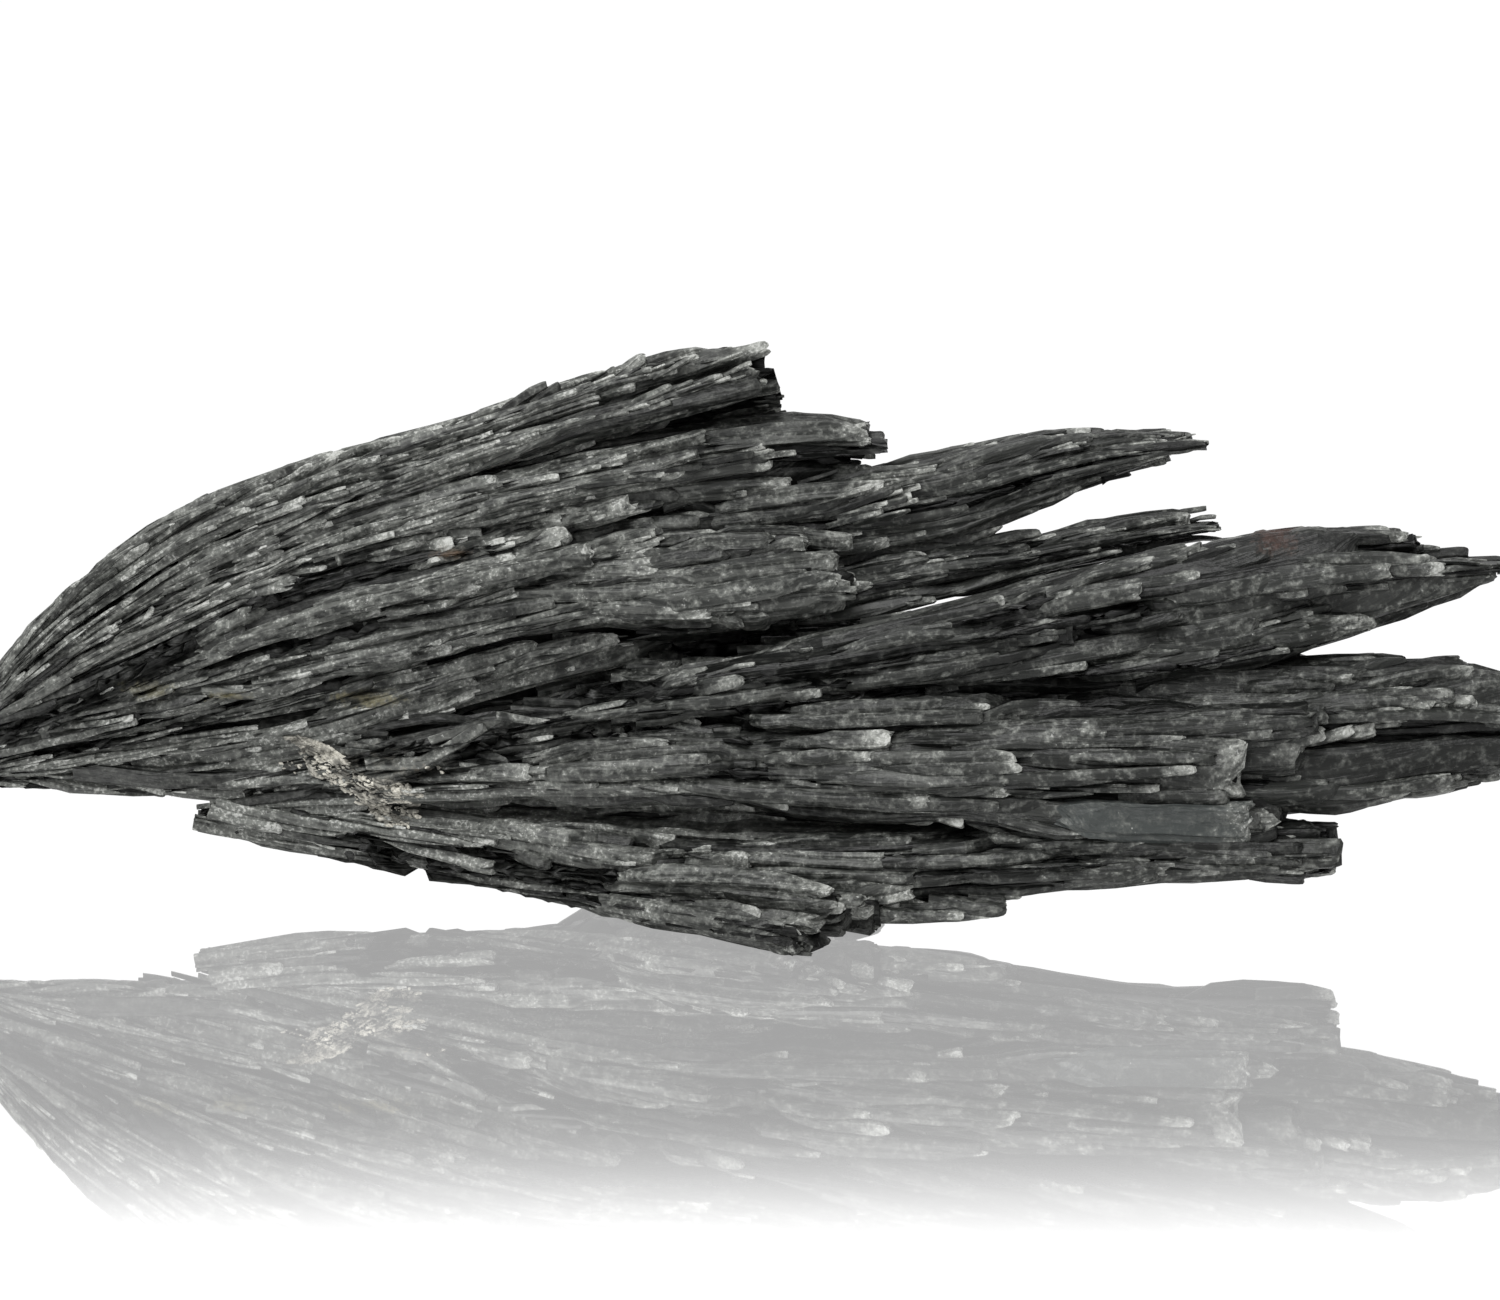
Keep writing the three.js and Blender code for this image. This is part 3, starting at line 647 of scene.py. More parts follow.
def bed_routes(spray, solid, shaded_tones):
    """The routes of the broad blades that close a spray's body, layer by layer."""
    rng = spray.random
    routes = []
    thickest = float(np.minimum(spray.half_height, spray.half_depth).max())
    for layer in range(1 + int(max(0, thickest - BED_INSET) / LAYER_STEP)):
        inset = BED_INSET + layer * LAYER_STEP
        fine, length = spray.outline(inset, OUTLINE_SHARE if layer < 1 else DEEP_SHARE)
        at = -rng.uniform(0, 1)
        while at < length[-1]:
            width = rng.uniform(*BED_WIDTHS)
            low, high = (np.interp(v % length[-1], length, fine) for v in (at, at + width))
            at += width
            high += 2 * math.pi * (high < low)
            angle = (low + high) / 2
            start = 0.0 if layer < 1 else rng.uniform(*DEEP_STARTS)
            end = spray.reach_at(np.array(angle)) * rng.uniform(*BED_ENDS)
            s = stations(start, float(end), spray.length, BED_STEP)
            place = spray.surface(angle, s, inset)
            chord = spray.surface(high, s, inset) - spray.surface(low, s, inset)
            out = unit(np.cross(unit(np.gradient(place, axis=0)), chord))
            out *= np.sign(np.sum(out * (place - spray.at("middle", s)), axis=1, keepdims=True) + 1e-9)
            half_width = np.maximum(np.linalg.norm(chord, axis=1) / 2 * BED_OVERLAP, 0.1)
            lift = rng.normal(0, BED_LIFT) * np.clip(s / LIFT_SHARE, 0, 1)
            # Bed blades take their tones from a lower range of their own: painted shade under the blades on
            # top.
            route = shaped(place + out * lift[:, None], out, half_width,
                           np.minimum(rng.uniform(*BED_HALF_DEPTHS), 0.12 + half_width * 1.3),
                           s * spray.length, rng.uniform(*shaded_tones), rng)
            route["place"] = solid.wrapped(route["place"], BED_COVER)[0]
            share = route["run"] / spray.length
            route["place"] += solid.crevices.sunk(route["place"])[:, None] * BACKWARDS
            split = spray.sunk(route["place"], share)[:, None]
            route["place"] -= spray.normal(route["place"], share) * split * BED_SPLIT
            routes += seen_stretches(route, solid)
    return routes


def great_routes(spray, solid, blades):
    """The routes of the great blades of a spray, each a bundle of strips that break off unevenly."""
    rng = spray.random
    routes = []
    for start, end, width, lift, tone in (blade.values() for blade in blades):
        strips = max(1, round(width / (STRIP_WIDTH if tone <= 1 else 2 * STRIP_WIDTH)))
        for strip in range(strips):
            offset = (strip + 0.5) / strips - 0.5
            first = start[0] + abs(rng.normal(0, STRIP_STAGGER[0])) / spray.length
            last = end[0] - abs(rng.normal(0, STRIP_STAGGER[1])) / spray.length
            if (last - first) * spray.length < STRIP_LEAST:
                continue
            s = stations(first, last, spray.length, 0.8)
            across = np.interp(s, [start[0], end[0]], [start[1], end[1]])
            across = np.clip(across + offset * width / spray.at("half_height", s), -1, 1)
            angle = np.arccos(np.sign(across) * np.abs(across) ** (1 / SQUARENESS))
            half_width = width / strips * rng.uniform(*STRIP_SHARES)
            half_depth = 0.14 + 0.45 * half_width
            inset = 0.5 * half_depth - lift + 0.9 * width * offset**2 + rng.normal(0, 0.07)
            place = solid.wrapped(spray.surface(angle, s, np.full(len(s), inset)), inset)[0]
            along = unit(np.gradient(place, axis=0))
            facing = unit(spray.normal(place, s) + spray.at("outward", s))
            facing = np.cross(unit(np.cross(along, facing)), along)
            tilt = rng.normal(0, 0.15)
            facing = unit(facing + tilt * np.cross(along, facing))
            full = np.clip((s - first) * spray.length / STRIP_RISES, 0, 1)
            place -= facing * (0.5 * (1 - full) ** 2)[:, None]
            routes.append(shaped(
                place, facing, half_width * (0.55 + 0.45 * full), half_depth * (0.6 + 0.4 * full),
                s * spray.length, tone * rng.uniform(0.8, 1), rng,
            ))
    return routes


def blade_routes(spray, solid, shade, density, width, half_depth, length, inset):
    """The routes of the blades that show: each runs from a random start until it breaks off."""
    rng = spray.random
    fine, outline = spray.outline(0, OUTLINE_SHARE)
    girth = spray.half_height + spray.half_depth
    count = int(outline[-1] * spray.length * density)
    angle = np.interp(rng.uniform(0, outline[-1], count), outline, fine)
    a = rng.uniform(*BLADE_STARTS, count)
    b = np.minimum(a + rng.lognormal(*length, count) / spray.length,
                   spray.reach_at(angle) * rng.uniform(*BLADE_ENDS, count))
    a = np.maximum(a, 0)
    depth = rng.uniform(*inset, count)
    drift, climb = rng.normal(0, BLADE_DRIFT, count), rng.normal(*BLADE_CLIMB, count)
    shortest = BLADE_LEAST / spray.length
    kept = (b - a > shortest) & (rng.random(count) < np.interp(a, spray.share, girth) / girth.max())
    a, b, angle, depth, drift, climb = (rows[kept] for rows in (a, b, angle, depth, drift, climb))

    shares = a[:, None] + (b - a)[:, None] * np.linspace(0, 1, PATH_POINTS)
    place = run_path(spray, angle, shares, depth, drift, climb)
    place, beyond, stray = solid.wrapped(place, BLADE_COVER)
    if spray.bedded:
        stray |= spray.beyond(place, shares) > PROUD
    last = np.where(stray.any(axis=1), stray.argmax(axis=1) - 1, PATH_POINTS - 1)
    out = spray.normal(place, shares)
    gap, split = solid.crevices.sunk(place), spray.sunk(place, shares)
    place = place + gap[..., None] * BACKWARDS - out * split[..., None]
    # Painted shade: the deeper a blade lies, or the further it sinks in a gap, the darker its tone.
    under = 0.7 * np.maximum(depth, 0)[:, None] + gap + split
    light = np.clip(1.1 - under / shade[0], shade[1], 1)
    b = shares[np.arange(len(b)), np.maximum(last, 0)]
    kept = (b - a > shortest) & (beyond.max(axis=1) > -LAID_OVER)
    room = np.clip(np.interp(shares, spray.share, girth) / girth.max(), 0.35, 1)
    rows = np.concatenate([place, out, room[..., None], light[..., None]], axis=2)

    routes = []
    for i in np.flatnonzero(kept):
        s = stations(a[i], b[i], spray.length, BLADE_STEP)
        here = sampled(rows[i], (s - a[i]) / (shares[i, -1] - a[i]))
        middle, out, room, light = here[:, :3], here[:, 3:6], here[:, 6], here[:, 7]
        along = unit(np.gradient(middle, axis=0))
        side = unit(np.cross(along, out + 1e-6))
        out = np.cross(side, along)
        turn = rng.normal(0, BLADE_TURN)
        sunk = START_SINK * np.clip(1 - (s - a[i]) * spray.length / START_LENGTH, 0, 1) * (a[i] > 0)
        half_width = rng.uniform(*width) / 2 * room
        route = shaped(
            middle - out * sunk[:, None], out * math.cos(turn) + side * math.sin(turn), half_width,
            np.minimum(rng.uniform(*half_depth), 0.1 + half_width * 1.6) * np.sqrt(room),
            s * spray.length, rng.uniform(*BLADE_TONES) * light, rng, BLADE_BROKEN,
        )
        routes.append(route)
    return routes


def run_path(spray, angle, shares, depth, drift, climb):
    """Places along blades that start on the surface and then keep to the spray's own direction."""
    following = spray.surface(angle[:, None], shares, depth[:, None])
    middle = spray.at("middle", shares)
    parallel = following[:, :1] + middle - middle[:, :1]
    hold = np.clip((shares - HOLD_START) / HOLD_LENGTH, 0, HOLD_MOST)[..., None]
    gone = ((shares - shares[:, :1]) * spray.length)[..., None]
    away = unit(following[:, :1] - middle[:, :1])
    sideways = drift[:, None, None] * spray.at("across", shares) + climb[:, None, None] * away
    return following + (parallel - following) * hold + gone * sideways


class Crevices:
    """The deep gaps of the broad face, for sinking what lies in them."""

    def __init__(self):
        shares = np.linspace(0, 1, CREVICE_POINTS)
        self.lines = [sampled(edge_curve(gap["line"]), shares) for gap in CREVICES]

    def sunk(self, places):
        """How far back each place lies for being in a gap; what is far behind the gap's line stays."""
        most = np.zeros(places.shape[:-1])
        for gap, line in zip(CREVICES, self.lines):
            near = np.full(places.shape[:-1], np.inf)
            share = np.zeros(places.shape[:-1])
            level = np.zeros(places.shape[:-1])
            for i, point in enumerate(line):
                off = np.hypot(places[..., 0] - point[0], places[..., 2] - point[2])
                closer = off < near
                near[closer] = off[closer]
                share[closer] = i / (len(line) - 1)
                level[closer] = point[1]
            taper = np.clip(np.minimum(share, 1 - share) * 6, 0.25, 1)
            part = np.clip(1.6 - near / (gap["half_width"] * taper), 0, 1)
            part *= places[..., 1] < level + CREVICE_REACH
            most = np.maximum(most, gap["depth"] * part * np.minimum(taper * 1.5, 1))
        return most


def seen_stretches(route, solid):
    """The parts of a route that don't lie deep inside the fan or under the ground."""
    hidden = (solid.beyond(route["place"])[0] < -BURIED) | (route["place"][:, 2] < DUG_IN)
    keep = ~hidden
    keep[1:] |= ~hidden[:-1]
    keep[:-1] |= ~hidden[1:]
    edges = np.flatnonzero(np.diff(np.r_[0, keep.astype(int), 0]))
    return [
        {name: rows[a:b] for name, rows in route.items()}
        for a, b in zip(edges[::2], edges[1::2]) if b - a >= 3
    ]


def to_frame(points):
    return (np.asarray(points) - FOOTPRINT_CENTRE) * MM


def add(name, data):
    """An object in the scene that shows the data."""
    made = bpy.data.objects.new(name, data)
    bpy.context.scene.collection.objects.link(made)
    return made


def mesh_object(name, points, edges=(), faces=(), attributes=None):
    """A mesh object with point attributes; vectors and numbers are told apart by their shape."""
    mesh = bpy.data.meshes.new(name)
    mesh.from_pydata([tuple(point) for point in points], list(edges), list(faces))
    for key, rows in (attributes or {}).items():
        rows = np.asarray(rows, np.float32)
        kind, field = ("FLOAT_VECTOR", "vector") if rows.ndim == 2 else ("FLOAT", "value")
        layer = mesh.attributes.new(key, kind, "POINT")
        layer.data.foreach_set(field, rows.ravel())
    mesh.update()
    return add(name, mesh)


def read(rows, field, kind=np.float32, width=1):
    """One field of all the rows of a mesh, width numbers to a row."""
    values = np.zeros(len(rows) * width, kind)
    rows.foreach_get(field, values)
    return values if width == 1 else values.reshape(-1, width)


def search_tree(pieces):
    """The faces of several pieces, for asking what a line meets."""
    vertices, polygons = [], []
    for piece in pieces:
        start = len(vertices)
        vertices += [vertex.co for vertex in piece.data.vertices]
        polygons += [tuple(start + i for i in face.vertices) for face in piece.data.polygons]
    return BVHTree.FromPolygons(vertices, polygons)


def guide_object(name, routes, first):
    """One mesh of loose polylines, one for each route."""
    sizes = [len(route["place"]) for route in routes]
    starts = np.r_[0, np.cumsum(sizes)]
    edges = [(i, i + 1) for a, n in zip(starts, sizes) for i in range(a, a + n - 1)]
    keys = ("facing", "half_width", "half_depth", "run", "tone", "broken")
    attributes = {key: np.concatenate([route[key] for route in routes]) for key in keys}
    attributes["blade"] = np.repeat(np.arange(len(routes)) + first, sizes)
    return mesh_object(name, to_frame(np.concatenate([r["place"] for r in routes])), edges, (), attributes)


# ---------------------------------------------------------------- geometry nodes

def tree_inputs(name, sizes):
    """A new geometry node tree with a geometry input, a material input and the named sizes."""
    tree = bpy.data.node_groups.new(name, "GeometryNodeTree")
    tree.interface.new_socket("Geometry", in_out="OUTPUT", socket_type="NodeSocketGeometry")
    tree.interface.new_socket("Geometry", in_out="INPUT", socket_type="NodeSocketGeometry")
    tree.interface.new_socket("Material", in_out="INPUT", socket_type="NodeSocketMaterial")
    for key, value in sizes.items():
        kind = "NodeSocketInt" if isinstance(value, int) else "NodeSocketFloat"
        tree.interface.new_socket(key, in_out="INPUT", socket_type=kind).default_value = value
    graph = Graph(tree)
    return graph, graph.node("NodeGroupInput")


def tree_output(graph, given, geometry):
    """Ends a tree in Realize Instances and Set Material."""
    real = graph.node("GeometryNodeRealizeInstances", None, {"Geometry": geometry})
    worn = graph.node("GeometryNodeSetMaterial", None, {"Geometry": real, "Material": given["Material"]})
    graph.node("NodeGroupOutput", None, {"Geometry": worn})


def chipped(graph, geometry, where, height, detail):
    """Pushes the surface about by noise, and leaves its faces flat."""
    push = graph.vector("SUBTRACT", graph.noise(where, 1.0, detail=detail)["Color"], (0.5, 0.5, 0.5))
    push = graph.scaled(push, height)
    geometry = graph.node("GeometryNodeSetPosition", None, {"Geometry": geometry, "Offset": push})
    return graph.node("GeometryNodeSetShadeSmooth", None, {"Geometry": geometry, "Shade Smooth": False})


def blade_tree():
    """Lays a ridged section round each guide line, closes its ends and breaks its tip up."""
    graph, given = tree_inputs("blade sweep", {
        "Sides": 18, "Section Squareness": 0.62, "Ridge Height": 0.26, "Ridges Per Millimetre": 3.2,
        "Ridge Drift": 0.12, "Tip Raggedness": 0.9, "Chipping": 0.05, "Chips Per Millimetre": 1.1,
    })
    index = graph.node("GeometryNodeInputIndex")
    position = graph.node("GeometryNodeInputPosition")
    circle = graph.node("GeometryNodeCurvePrimitiveCircle", None, {"Resolution": given["Sides"]})
    circle = graph.stored(circle, "around", index / given["Sides"])
    curve = graph.node("GeometryNodeMeshToCurve", None, {"Mesh": given["Geometry"]})
    curve = graph.stored(curve, "along", graph.node("GeometryNodeInputTangent"), "FLOAT_VECTOR")
    curve = graph.stored(curve, "centre", position, "FLOAT_VECTOR")
    swept = graph.node("GeometryNodeCurveToMesh", None, {
        "Curve": curve, "Profile Curve": circle, "Fill Caps": True,
    })
    along = graph.named("along", "FLOAT_VECTOR")
    facing = graph.named("facing", "FLOAT_VECTOR")
    side = graph.vector("CROSS_PRODUCT", along, facing)
    around, run, blade = graph.named("around"), graph.named("run"), graph.named("blade")
    broken, half_width = graph.named("broken"), graph.named("half_width")
    angle = (around - 0.25) * math.tau
    c, s = angle.math("COSINE", angle), angle.math("SINE", angle)
    girth = around * half_width * PERIMETER
    swept = graph.stored(swept, "girth", girth)
    at = graph.combined(girth * given["Ridges Per Millimetre"], blade * 7.31, run * given["Ridge Drift"])
    ridge = (graph.noise(at, 1.0, detail=1.0) - 0.5) * 2 * given["Ridge Height"]
    ridge = ridge * half_width.math("MINIMUM", half_width * 1.6, 1.0)
    x = graph.bulged(c, given["Section Squareness"]) * half_width + c * ridge
    y = graph.bulged(s, given["Section Squareness"]) * graph.named("half_depth") + s * ridge
    jag = graph.combined(around * 9, blade * 3.7, 0.5)
    jag = (graph.noise(jag, 1.0, detail=1.0) - 0.5) * 2 * given["Tip Raggedness"] * broken
    jag = jag * half_width.math("MINIMUM", half_width * 1.4, 1.0)
    away = graph.vector("ADD", graph.scaled(side, x * MM), graph.scaled(facing, y * MM))
    away = graph.vector("ADD", away, graph.scaled(along, jag * MM))
    swept = graph.node("GeometryNodeSetPosition", None, {
        "Geometry": swept, "Position": graph.vector("ADD", graph.named("centre", "FLOAT_VECTOR"), away),
    })
    where = graph.scaled(position, given["Chips Per Millimetre"] * 1000)
    swept = chipped(graph, swept, where, given["Chipping"] * 2 * MM * (1 + broken), 2.0)
    swept = graph.node("GeometryNodeFlipFaces", None, {"Mesh": swept})
    tree_output(graph, given, swept)
    return graph.tree


def grown(name, source, tree, material, sizes=None):
    """The plain mesh object that a tree makes of a source object, which is used up."""
    modifier = source.modifiers.new("growth", "NODES")
    modifier.node_group = tree
    values = {"Material": material, **(sizes or {})}
    for item in tree.interface.items_tree:
        if item.item_type == "SOCKET" and item.in_out == "INPUT" and item.name in values:
            modifier[item.identifier] = values[item.name]
    depsgraph = bpy.context.evaluated_depsgraph_get()
    depsgraph.update()
    mesh = bpy.data.meshes.new_from_object(source.evaluated_get(depsgraph))
    mesh.name = name
    bpy.data.objects.remove(source)
    return add(name, mesh)


def joined(name, objects):
    """One object out of several, with their attributes kept."""
    bpy.ops.object.select_all(action="DESELECT")
    for one in objects:
        one.select_set(True)
    bpy.context.view_layer.objects.active = objects[0]
    bpy.ops.object.join()
    objects[0].name = name
    objects[0].data.name = name
    return objects[0]


def worn_flat(piece):
    """Brings what reaches below the ground up to it, as the undersides of the lowest blades are worn."""
    places = read(piece.data.vertices, "co", width=3)
    places[:, 2] = np.maximum(places[:, 2], FLOOR_GAP * MM)
    piece.data.vertices.foreach_set("co", places.ravel())
    piece.data.update()


# ---------------------------------------------------------------- materials

# painted shade: the near-black of blades deep in gaps and of the inner body
PAINTED_GAP_SHADE = (0.0015, 0.0017, 0.0015, 1)  # blades deep in a gap
CHARCOAL = (0.011, 0.0118, 0.0108, 1)  # the blades
STREAK = (0.07, 0.072, 0.067, 1)  # streaks along them
CRUMBLED = (0.05, 0.052, 0.049, 1)  # their broken ends
# painted sheen: the grey shine of the smooth glassy blades
GLASSY_SHEEN = (0.032, 0.036, 0.035, 1)  # smooth grey blades
DULL_FLECK, BRIGHT_FLECK = (0.09, 0.094, 0.087, 1), (0.175, 0.179, 0.165, 1)
END_FLECK = (0.25, 0.255, 0.238, 1)  # flecks on broken ends
# painted glint: bright specks that stand for light caught by grains
PAINTED_GLINT = (0.36, 0.365, 0.35, 1)
GREY_CRUST, CREAM_CRUST = (0.09, 0.088, 0.078, 1), (0.42, 0.405, 0.355, 1)
CRUST_SPECK = (0.09, 0.085, 0.072, 1)


def principled(name):
    """A new material, its graph and shader, and the place on the fan in millimetres."""
    material = bpy.data.materials.new(name)
    material.use_nodes = True
    graph = Graph(material.node_tree)
    shader = material.node_tree.nodes["Principled BSDF"]
    place = graph.vector("MULTIPLY", graph.node("ShaderNodeTexCoord")["Object"], (1000.0, 1000.0, 1000.0))
    return material, graph, shader, place


def link(graph, value, socket):
    graph.tree.links.new(value.socket, socket)


def kyanite_material():
    """Charcoal crystal: streaks along the blades, pale crumbled ends and grains, stained patches; painted
    shade on deep blades, painted glints, and a painted sheen on the glassy blades.
    """
    material, graph, shader, place = principled("black_kyanite")
    names = ("tone", "run", "girth", "blade", "broken")
    tone, run, girth, blade, broken = (graph.attribute(name) for name in names)
    fibre = graph.combined(run * 0.35, girth * 6.0, blade * 3.7)
    streaks = graph.noise(fibre, 1.0, detail=3.0, roughness=0.6)
    dashes = graph.noise(graph.vector("MULTIPLY", fibre, (4.5, 0.8, 1.0)), 1.0, detail=2.0, roughness=0.6)
    clumps = graph.noise(place, 0.55, detail=4.0, roughness=0.75)
    blobs = graph.noise(place, 3.6, detail=3.0, roughness=0.68)
    grit = graph.noise(place, 8.0, detail=2.0, roughness=0.6)
    parts = graph.node("ShaderNodeSeparateXYZ", None, [place])
    right, far = parts["X"].above(-14, 2), parts["X"].above(4, 10)
    low = (1 - parts["Z"].above(4.5, 6.5)) * (1 - far)

    # lit falls to 0 where a blade's tone was lowered as painted shade or is low at random; there it takes the
    # painted shade colour and loses its flecks, glints and pale ends
    lit, painted_sheen = tone.above(0.0, 0.5), tone.above(1.0, 1.8)
    crumbled = broken * (blade * 0.731).math("FRACT", blade * 0.731).above(0.1, 0.5) * lit
    dust = (0.32 + 0.13 * right) * (clumps - 0.5) + 0.17 * crumbled + 0.055 * (1 - right)
    dust = dust + 0.035 * low - 0.022 * right - 0.012 * far
    mixed = (0.6 - 0.12 * right) * dashes + (0.4 + 0.12 * right) * blobs
    fleck = (mixed + dust).above(0.43, 0.72) * (0.15 + 0.85 * lit) * (1 - 0.5 * painted_sheen)
    # painted glints, only on lit blades
    glint = (0.75 * grit + 0.25 * dashes + 0.9 * dust).above(0.63, 0.74) * lit
    pale = graph.mix(grit.above(0.35, 0.65), DULL_FLECK, BRIGHT_FLECK)
    # painted shade: blades with a low tone go to the near-black of a gap
    dark = graph.mix(lit, PAINTED_GAP_SHADE, CHARCOAL)
    streaky = streaks.above(0.4, 0.7) * (1 - 0.42 * right - 0.3 * far) * lit
    dark = graph.mix(streaky, dark, STREAK)
    dark = graph.mix(crumbled * 0.5, dark, CRUMBLED)
    # painted sheen: smooth glassy blades are painted grey
    dark = graph.mix(painted_sheen, dark, GLASSY_SHEEN)
    pale = graph.mix(crumbled * clumps.above(0.4, 0.6), pale, END_FLECK)
    body = graph.mix(fleck, dark, pale)
    # painted glints mixed over the body colour
    body = graph.mix(glint * 0.6, body, PAINTED_GLINT)
    for stain in STAINS:
        off = graph.vector("SUBTRACT", place, tuple(stain["place"] - FOOTPRINT_CENTRE))
        off = graph.vector("MULTIPLY", off, tuple(1 / reach for reach in stain["reach"]))
        off = graph.vector("LENGTH", off)["Value"] + 2.2 * (0.5 - blobs) + 1.2 * (0.5 - dashes)
        body = graph.mix((1.3 - off).above(0, 0.9) * stain["strength"], body, stain["colour"])
    link(graph, body, shader.inputs["Base Color"])
    link(graph, 0.46 - 0.1 * streaks + 0.14 * fleck, shader.inputs["Roughness"])
    shader.inputs["Specular IOR Level"].default_value = 0.17
    height = streaks * 1.1 + dashes * 0.4 + blobs * (0.4 + 1.1 * crumbled)
    ripple = graph.node("ShaderNodeBump", None, {"Strength": 0.8, "Distance": 0.0001, "Height": height})
    link(graph, ripple, shader.inputs["Normal"])
    return material


def floor_material():
    """White glossy sheet whose milky mirror image fades away towards the camera."""
    material = bpy.data.materials.new("white_sheet")
    material.use_nodes = True
    material.node_tree.nodes.clear()
    graph = Graph(material.node_tree)
    near = graph.node("ShaderNodeSeparateXYZ", None, [graph.node("ShaderNodeTexCoord")["Object"]])["Y"]
    plain = graph.node("ShaderNodeBsdfDiffuse", None, {"Color": (0.98, 0.98, 0.98, 1)})
    glow = graph.node("ShaderNodeEmission", None, {"Color": (1, 1, 1, 1), "Strength": 0.37})
    mirror = graph.node("ShaderNodeBsdfGlossy", None, {"Color": (0.66, 0.66, 0.66, 1), "Roughness": 0.015})
    milky = graph.node("ShaderNodeAddShader", None, [glow, mirror])
    shader = graph.node("ShaderNodeMixShader", None, [near.above(*SHEET_FADES), plain, milky])
    graph.node("ShaderNodeOutputMaterial", None, {"Surface": shader})
    return material


# ---------------------------------------------------------------- the fan

HAIR = 1e-6  # metres off a surface from which a line starts, to be clear of it
TOUCHING = 1e-5  # metres; a place nearer than this counts as on the surface
SLANT = 0.97  # a nearest point seen more slantingly than this is on an edge or a corner
WALL_WAY = Vector((0.31, -0.92, 0.24)).normalized()  # along no face of the solid
MOST_WALLS = 60
THIN_SHARE = 0.35  # the inner body goes at most this share of the thickness under the surface
THIN_INSET = 0.1  # and this far where the solid has no other side
TOO_FAR = 1.1  # a place further out than this has left the fan for good
BEHIND = 1.8  # the solid lies behind a place when it is nearer than this, front to back
MOST_SHIFT = 0.9  # the furthest that a blade is brought in


class Solid:
    """The CAD solid, for asking how far a layout point lies outside or inside it."""

    def __init__(self):
        self.tree = search_tree([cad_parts[NODE]])
        self.crevices = Crevices()

    def beyond(self, places):
        """Millimetres from each place to the surface, negative inside, and the way out from there."""
        depths, ways = [], []
        for place in to_frame(places).reshape(-1, 3):
            place = Vector(place)
            surface, normal, _, distance = self.tree.find_nearest(place)
            away = place - surface
            inside = away.dot(normal) < 0
            if distance > TOUCHING and abs(away.dot(normal)) < SLANT * distance:
                inside = self.surrounds(place)
            depths.append((-distance if inside else distance) / MM)
            ways.append(normal)
        shape = places.shape[:-1]
        return np.array(depths).reshape(shape), np.array(ways).reshape(*shape, 3)

    def surrounds(self, place):
        """Whether a place is inside, by counting the walls along a line from it."""
        walls = 0
        while walls < MOST_WALLS:
            hit = self.tree.ray_cast(place, WALL_WAY)[0]
            if hit is None:
                break
            walls += 1
            place = hit + WALL_WAY * HAIR
        return walls % 2 == 1

    def drawn_in(self, place, normal, inset):
        """A place on the surface moved in under it, less far where the solid is thin."""
        hit, _, _, thickness = self.tree.ray_cast(place - normal * HAIR, -normal)
        return place - normal * (min(inset * MM, thickness * THIN_SHARE) if hit else THIN_INSET * MM)

    def wrapped(self, places, cover):
        """Places brought in to lie cover under the surface, and whether each was too far out for that.

        More is allowed over the front and back, where the solid lies behind, than round the outline.
        """
        depths, ways = self.beyond(places)
        far = depths > CLEAR - cover
        for i in zip(*np.nonzero(far & (depths < TOO_FAR) & (np.abs(ways[..., 1]) > 0.5))):
            inward = Vector((0, -math.copysign(1, ways[i][1]), 0))
            far[i] = self.tree.ray_cast(Vector(to_frame(places[i])), inward, BEHIND * MM)[0] is None
        excess = np.clip(depths + cover, -0.5, 1.0)
        t = np.linspace(-1, 1, places.shape[-2])
        level, slope = excess.mean(axis=-1), (excess * t).sum(axis=-1) / (t**2).sum()
        shift = np.clip(level[..., None] + slope[..., None] * t, 0, MOST_SHIFT)
        way = unit(ways.mean(axis=-2))[..., None, :]
        return places - way * shift[..., None], depths, far


def inner_body(material, solid):
    """The body that closes the fan under its blades: the CAD solid, drawn in, in the near-black of painted
    shade.
    """
    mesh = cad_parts[NODE].data
    work = bmesh.new()
    work.from_mesh(mesh)
    bmesh.ops.remove_doubles(work, verts=work.verts, dist=1e-7)
    for _ in range(CORE_ROUNDS):
        long_edges = [edge for edge in work.edges if edge.calc_length() > CORE_EDGE * MM]
        bmesh.ops.subdivide_edges(work, edges=long_edges, cuts=1)
        bmesh.ops.triangulate(work, faces=[face for face in work.faces if len(face.verts) > 3])
    work.normal_update()
    insets = np.interp([vertex.co.x / MM for vertex in work.verts], CORE_PLACES, CORE_INSETS)
    insets += CORE_ENDS * np.clip([vertex.normal.x for vertex in work.verts], 0, 1) ** 2
    moved = [solid.drawn_in(vertex.co, vertex.normal, inset) for vertex, inset in zip(work.verts, insets)]
    places = np.array([tuple(place) for place in moved]) / MM + FOOTPRINT_CENTRE
    places += (solid.crevices.sunk(places) * CORE_SINK)[:, None] * BACKWARDS
    faces = [tuple(vertex.index for vertex in face.verts) for face in work.faces]
    work.free()
    # tone 0 gives the inner body the painted shade colour of the gaps
    attributes = {name: np.zeros(len(places)) for name in ("blade", "tone", "broken", "around", "half_width")}
    attributes.update(run=places[:, 0], girth=places[:, 2])
    body = mesh_object("inner_body", to_frame(places), (), faces, attributes)
    body.data.materials.append(material)
    body.data.shade_smooth()
    return body


